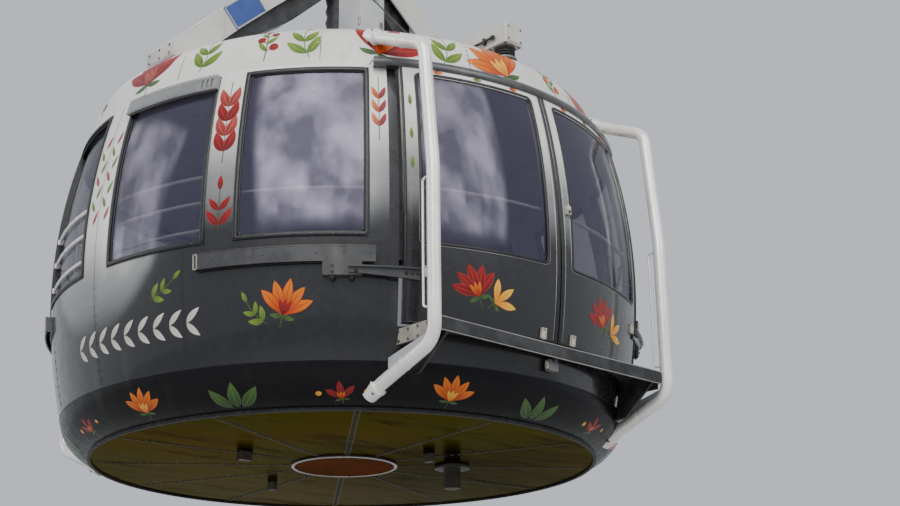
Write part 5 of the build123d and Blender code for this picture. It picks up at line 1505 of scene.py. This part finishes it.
def pillar_motifs():
    """Sprigs on the pale pillars between the windows and beside the doors."""
    for door, side in QUARTERS:
        middle = door + side * PILLAR
        ground = wall_ground(middle, 1.62)
        for k in range(4):
            for lean in (1, -1):
                bud = "red" if k % 2 == 0 else "pink"
                leaf(bud, ground, (0.0, 0.13 * k), 90 + 38 * lean, 0.19, 0.085, -28 * lean)
        stem(ground, (0.0, -0.10), 90, 0.72)
        lower = wall_ground(middle, 0.98)
        leaf_spray(lower, (0.0, 0.0), 90, 0.32, 2, "red", bend=0.0, size=0.50)
        post = wall_ground(door + side * POST, 1.78)
        for k in range(3):
            for lean, colour in ((1, "orange"), (-1, "red")):
                leaf(colour, post, (0.0, 0.12 * k), 90 + 34 * lean, 0.13, 0.042, -20 * lean)
        stem(post, (0.0, -0.12), 90, 0.56)
        edge = wall_ground(door + side * SIDE_STRIP, 1.30)
        for k in range(7):
            colour, lean = ("green" if k % 3 else "pink"), (30 if k % 2 else -30)
            leaf(colour, edge, (0.0, 0.11 * k), 90 + lean, 0.12, 0.038)


def leaf_motifs():
    """Small sprays on the pale border above and beside the door glass."""
    for door, side in QUARTERS:
        for turn, kind in ((7, "orange"), (15, "green"), (23, "orange")):
            ground = wall_ground(door + side * turn, 2.279, LEAF_PROUD)
            leaf(kind, ground, (-0.04, 0.0), 0, 0.085, 0.032)
        for level in (1.42, 1.66, 1.95):
            ground = wall_ground(door + side * 28.75, level, LEAF_PROUD)
            leaf("green", ground, (0.0, 0.0), 90, 0.10, 0.030)


def wall_motifs():
    """Bud fans and sprays low on the wall and the leaves, and the cream chain on the side."""
    for door in (0, 180):
        for turn in (-52.0, 50.0):
            ground = wall_ground(door + turn, 0.27)
            bud_fan("orange", ground, (0.08, 0.05), 76, 0.27, heart="red")
            leaf_spray(ground, (-0.04, 0.00), 150, 0.22, 2, "green", bend=-34.0, size=0.52)
        for turn in (-16.4, 13.8):
            ground = wall_ground(door + turn, 0.45, LEAF_PROUD)
            bud_fan("red", ground, (-0.03, 0.05), 112, 0.25, heart="orange")
            bud_fan("yellow", ground, (0.10, 0.02), 38, 0.20, 3)
        ground = wall_ground(door - 74.0, 0.55)
        leaf_spray(ground, (-0.06, 0.0), 12, 0.26, 2, "green", bend=30.0, size=0.45)
        ground = wall_ground(door - 96.0, 0.33)
        for k in range(9):
            for lean in (1, -1):
                leaf("cream", ground, (0.155 * k, 0.0), 52 * lean, 0.15, 0.050, -20 * lean)


def belly_motifs():
    """Larger fans, leaves and berries round the belly."""
    for k in range(18):
        bearing = -80 + 20 * k
        ground = belly_ground(bearing, 0.05)
        if k % 3 == 0:
            bud_fan("orange", ground, (0.0, 0.07), 84, 0.21, heart="yellow")
        elif k % 3 == 1:
            for lean in (-42, 0, 42):
                leaf("deep_green", ground, (0.04 * lean / 42, 0.0), 90 - lean, 0.22, 0.085, lean * 0.3)
        else:
            bud_fan("red", ground, (0.0, 0.05), 100, 0.15, 3, heart="orange")
            berry("yellow", ground, (-0.16, 0.10), 0.042)
            berry("yellow", ground, (0.16, 0.12), 0.036)


def motifs():
    """All the printed motifs, one piece for each colour."""
    roof_motifs()
    pillar_motifs()
    leaf_motifs()
    wall_motifs()
    belly_motifs()
    for name, form in PAINT.items():
        form.piece("wall_paint", "print_" + name, solid=False)


for dress in (
    window_trims, leaf_seals, gutter_lips, body_seams, pan_details,
    door_fittings, window_fittings, step_fittings, tube_fittings, roof_fittings,
    hanger_fittings, cabinet_fittings, carriage_fittings, motifs,
):
    dress()


# Stage: pale floor, soft lights and a pale surround
FLOOR_SIDE = 80.0
SURROUND = (0.80, 0.84, 0.90)


def stage():
    """Floor and surround."""
    mesh = bpy.data.meshes.new("studio_floor")
    half = FLOOR_SIDE / 2
    corners = [(x * half, y * half, FLOOR_Z) for x, y in CORNERS]
    mesh.from_pydata(corners, [], [(0, 1, 2, 3)])
    floor = placed("studio_floor", mesh)
    made = Finish("studio_floor", rough=0.7)
    made.colour(made.mix(made.noise(0.8, 3.0), (0.50, 0.50, 0.49), (0.54, 0.54, 0.53)))
    mesh.materials.append(made.material)
    world = bpy.data.worlds.new("studio")
    world.use_nodes = True
    world.node_tree.nodes["Background"].inputs[0].default_value = (*SURROUND, 1)
    world.node_tree.nodes["Background"].inputs[1].default_value = 0.78
    bpy.context.scene.world = world


LIGHTS = (
    # name, azimuth and elevation from the cabin, distance, width, height, radiance
    ("key", -140.0, 35.0, 17.0, 14.0, 13.0, 5.0),
    ("front", -86.0, 32.0, 17.0, 9.0, 12.0, 3.0),
    ("side", 146.0, 24.0, 16.0, 9.0, 9.0, 1.9),
    ("rim", 62.0, 40.0, 16.0, 8.0, 6.0, 3.2),
)
LIGHT_AIM = Vector((0.0, 0.0, -6.0))
LIGHT_EDGE = 0.12


def soften(data):
    """Let a light's strength fall off towards its four edges and vary a little, as a cloth front does."""
    made = Nodes(data, "ShaderNodeNewGeometry", "Parametric")
    total = made.grade(made.noise(3.0, 6.0, 0.5), 0.40, 0.62, 0.40, 1.75, "LINEAR")
    for axis in ("X", "Y"):
        for first, last in ((0.0, LIGHT_EDGE), (1.0, 1.0 - LIGHT_EDGE)):
            total = made.math("MULTIPLY", total, made.grade(made.axis(axis), first, last))
    link(total, made.tree.nodes["Emission"].inputs["Strength"])


def lights():
    """Soft area lights round the object."""
    for name, azimuth, elevation, distance, width, height, radiance in LIGHTS:
        turn, rise = radians(azimuth), radians(elevation)
        place = LIGHT_AIM + distance * Vector((cos(rise) * cos(turn), cos(rise) * sin(turn), sin(rise)))
        data = bpy.data.lights.new(name, "AREA")
        data.shape = "RECTANGLE"
        data.size = width
        data.size_y = height
        data.energy = radiance * pi * width * height
        soften(data)
        lamp = placed(name, data)
        lamp.location = place
        lamp.rotation_mode = "QUATERNION"
        lamp.rotation_quaternion = (LIGHT_AIM - place).to_track_quat("-Z", "Y")


stage()
lights()
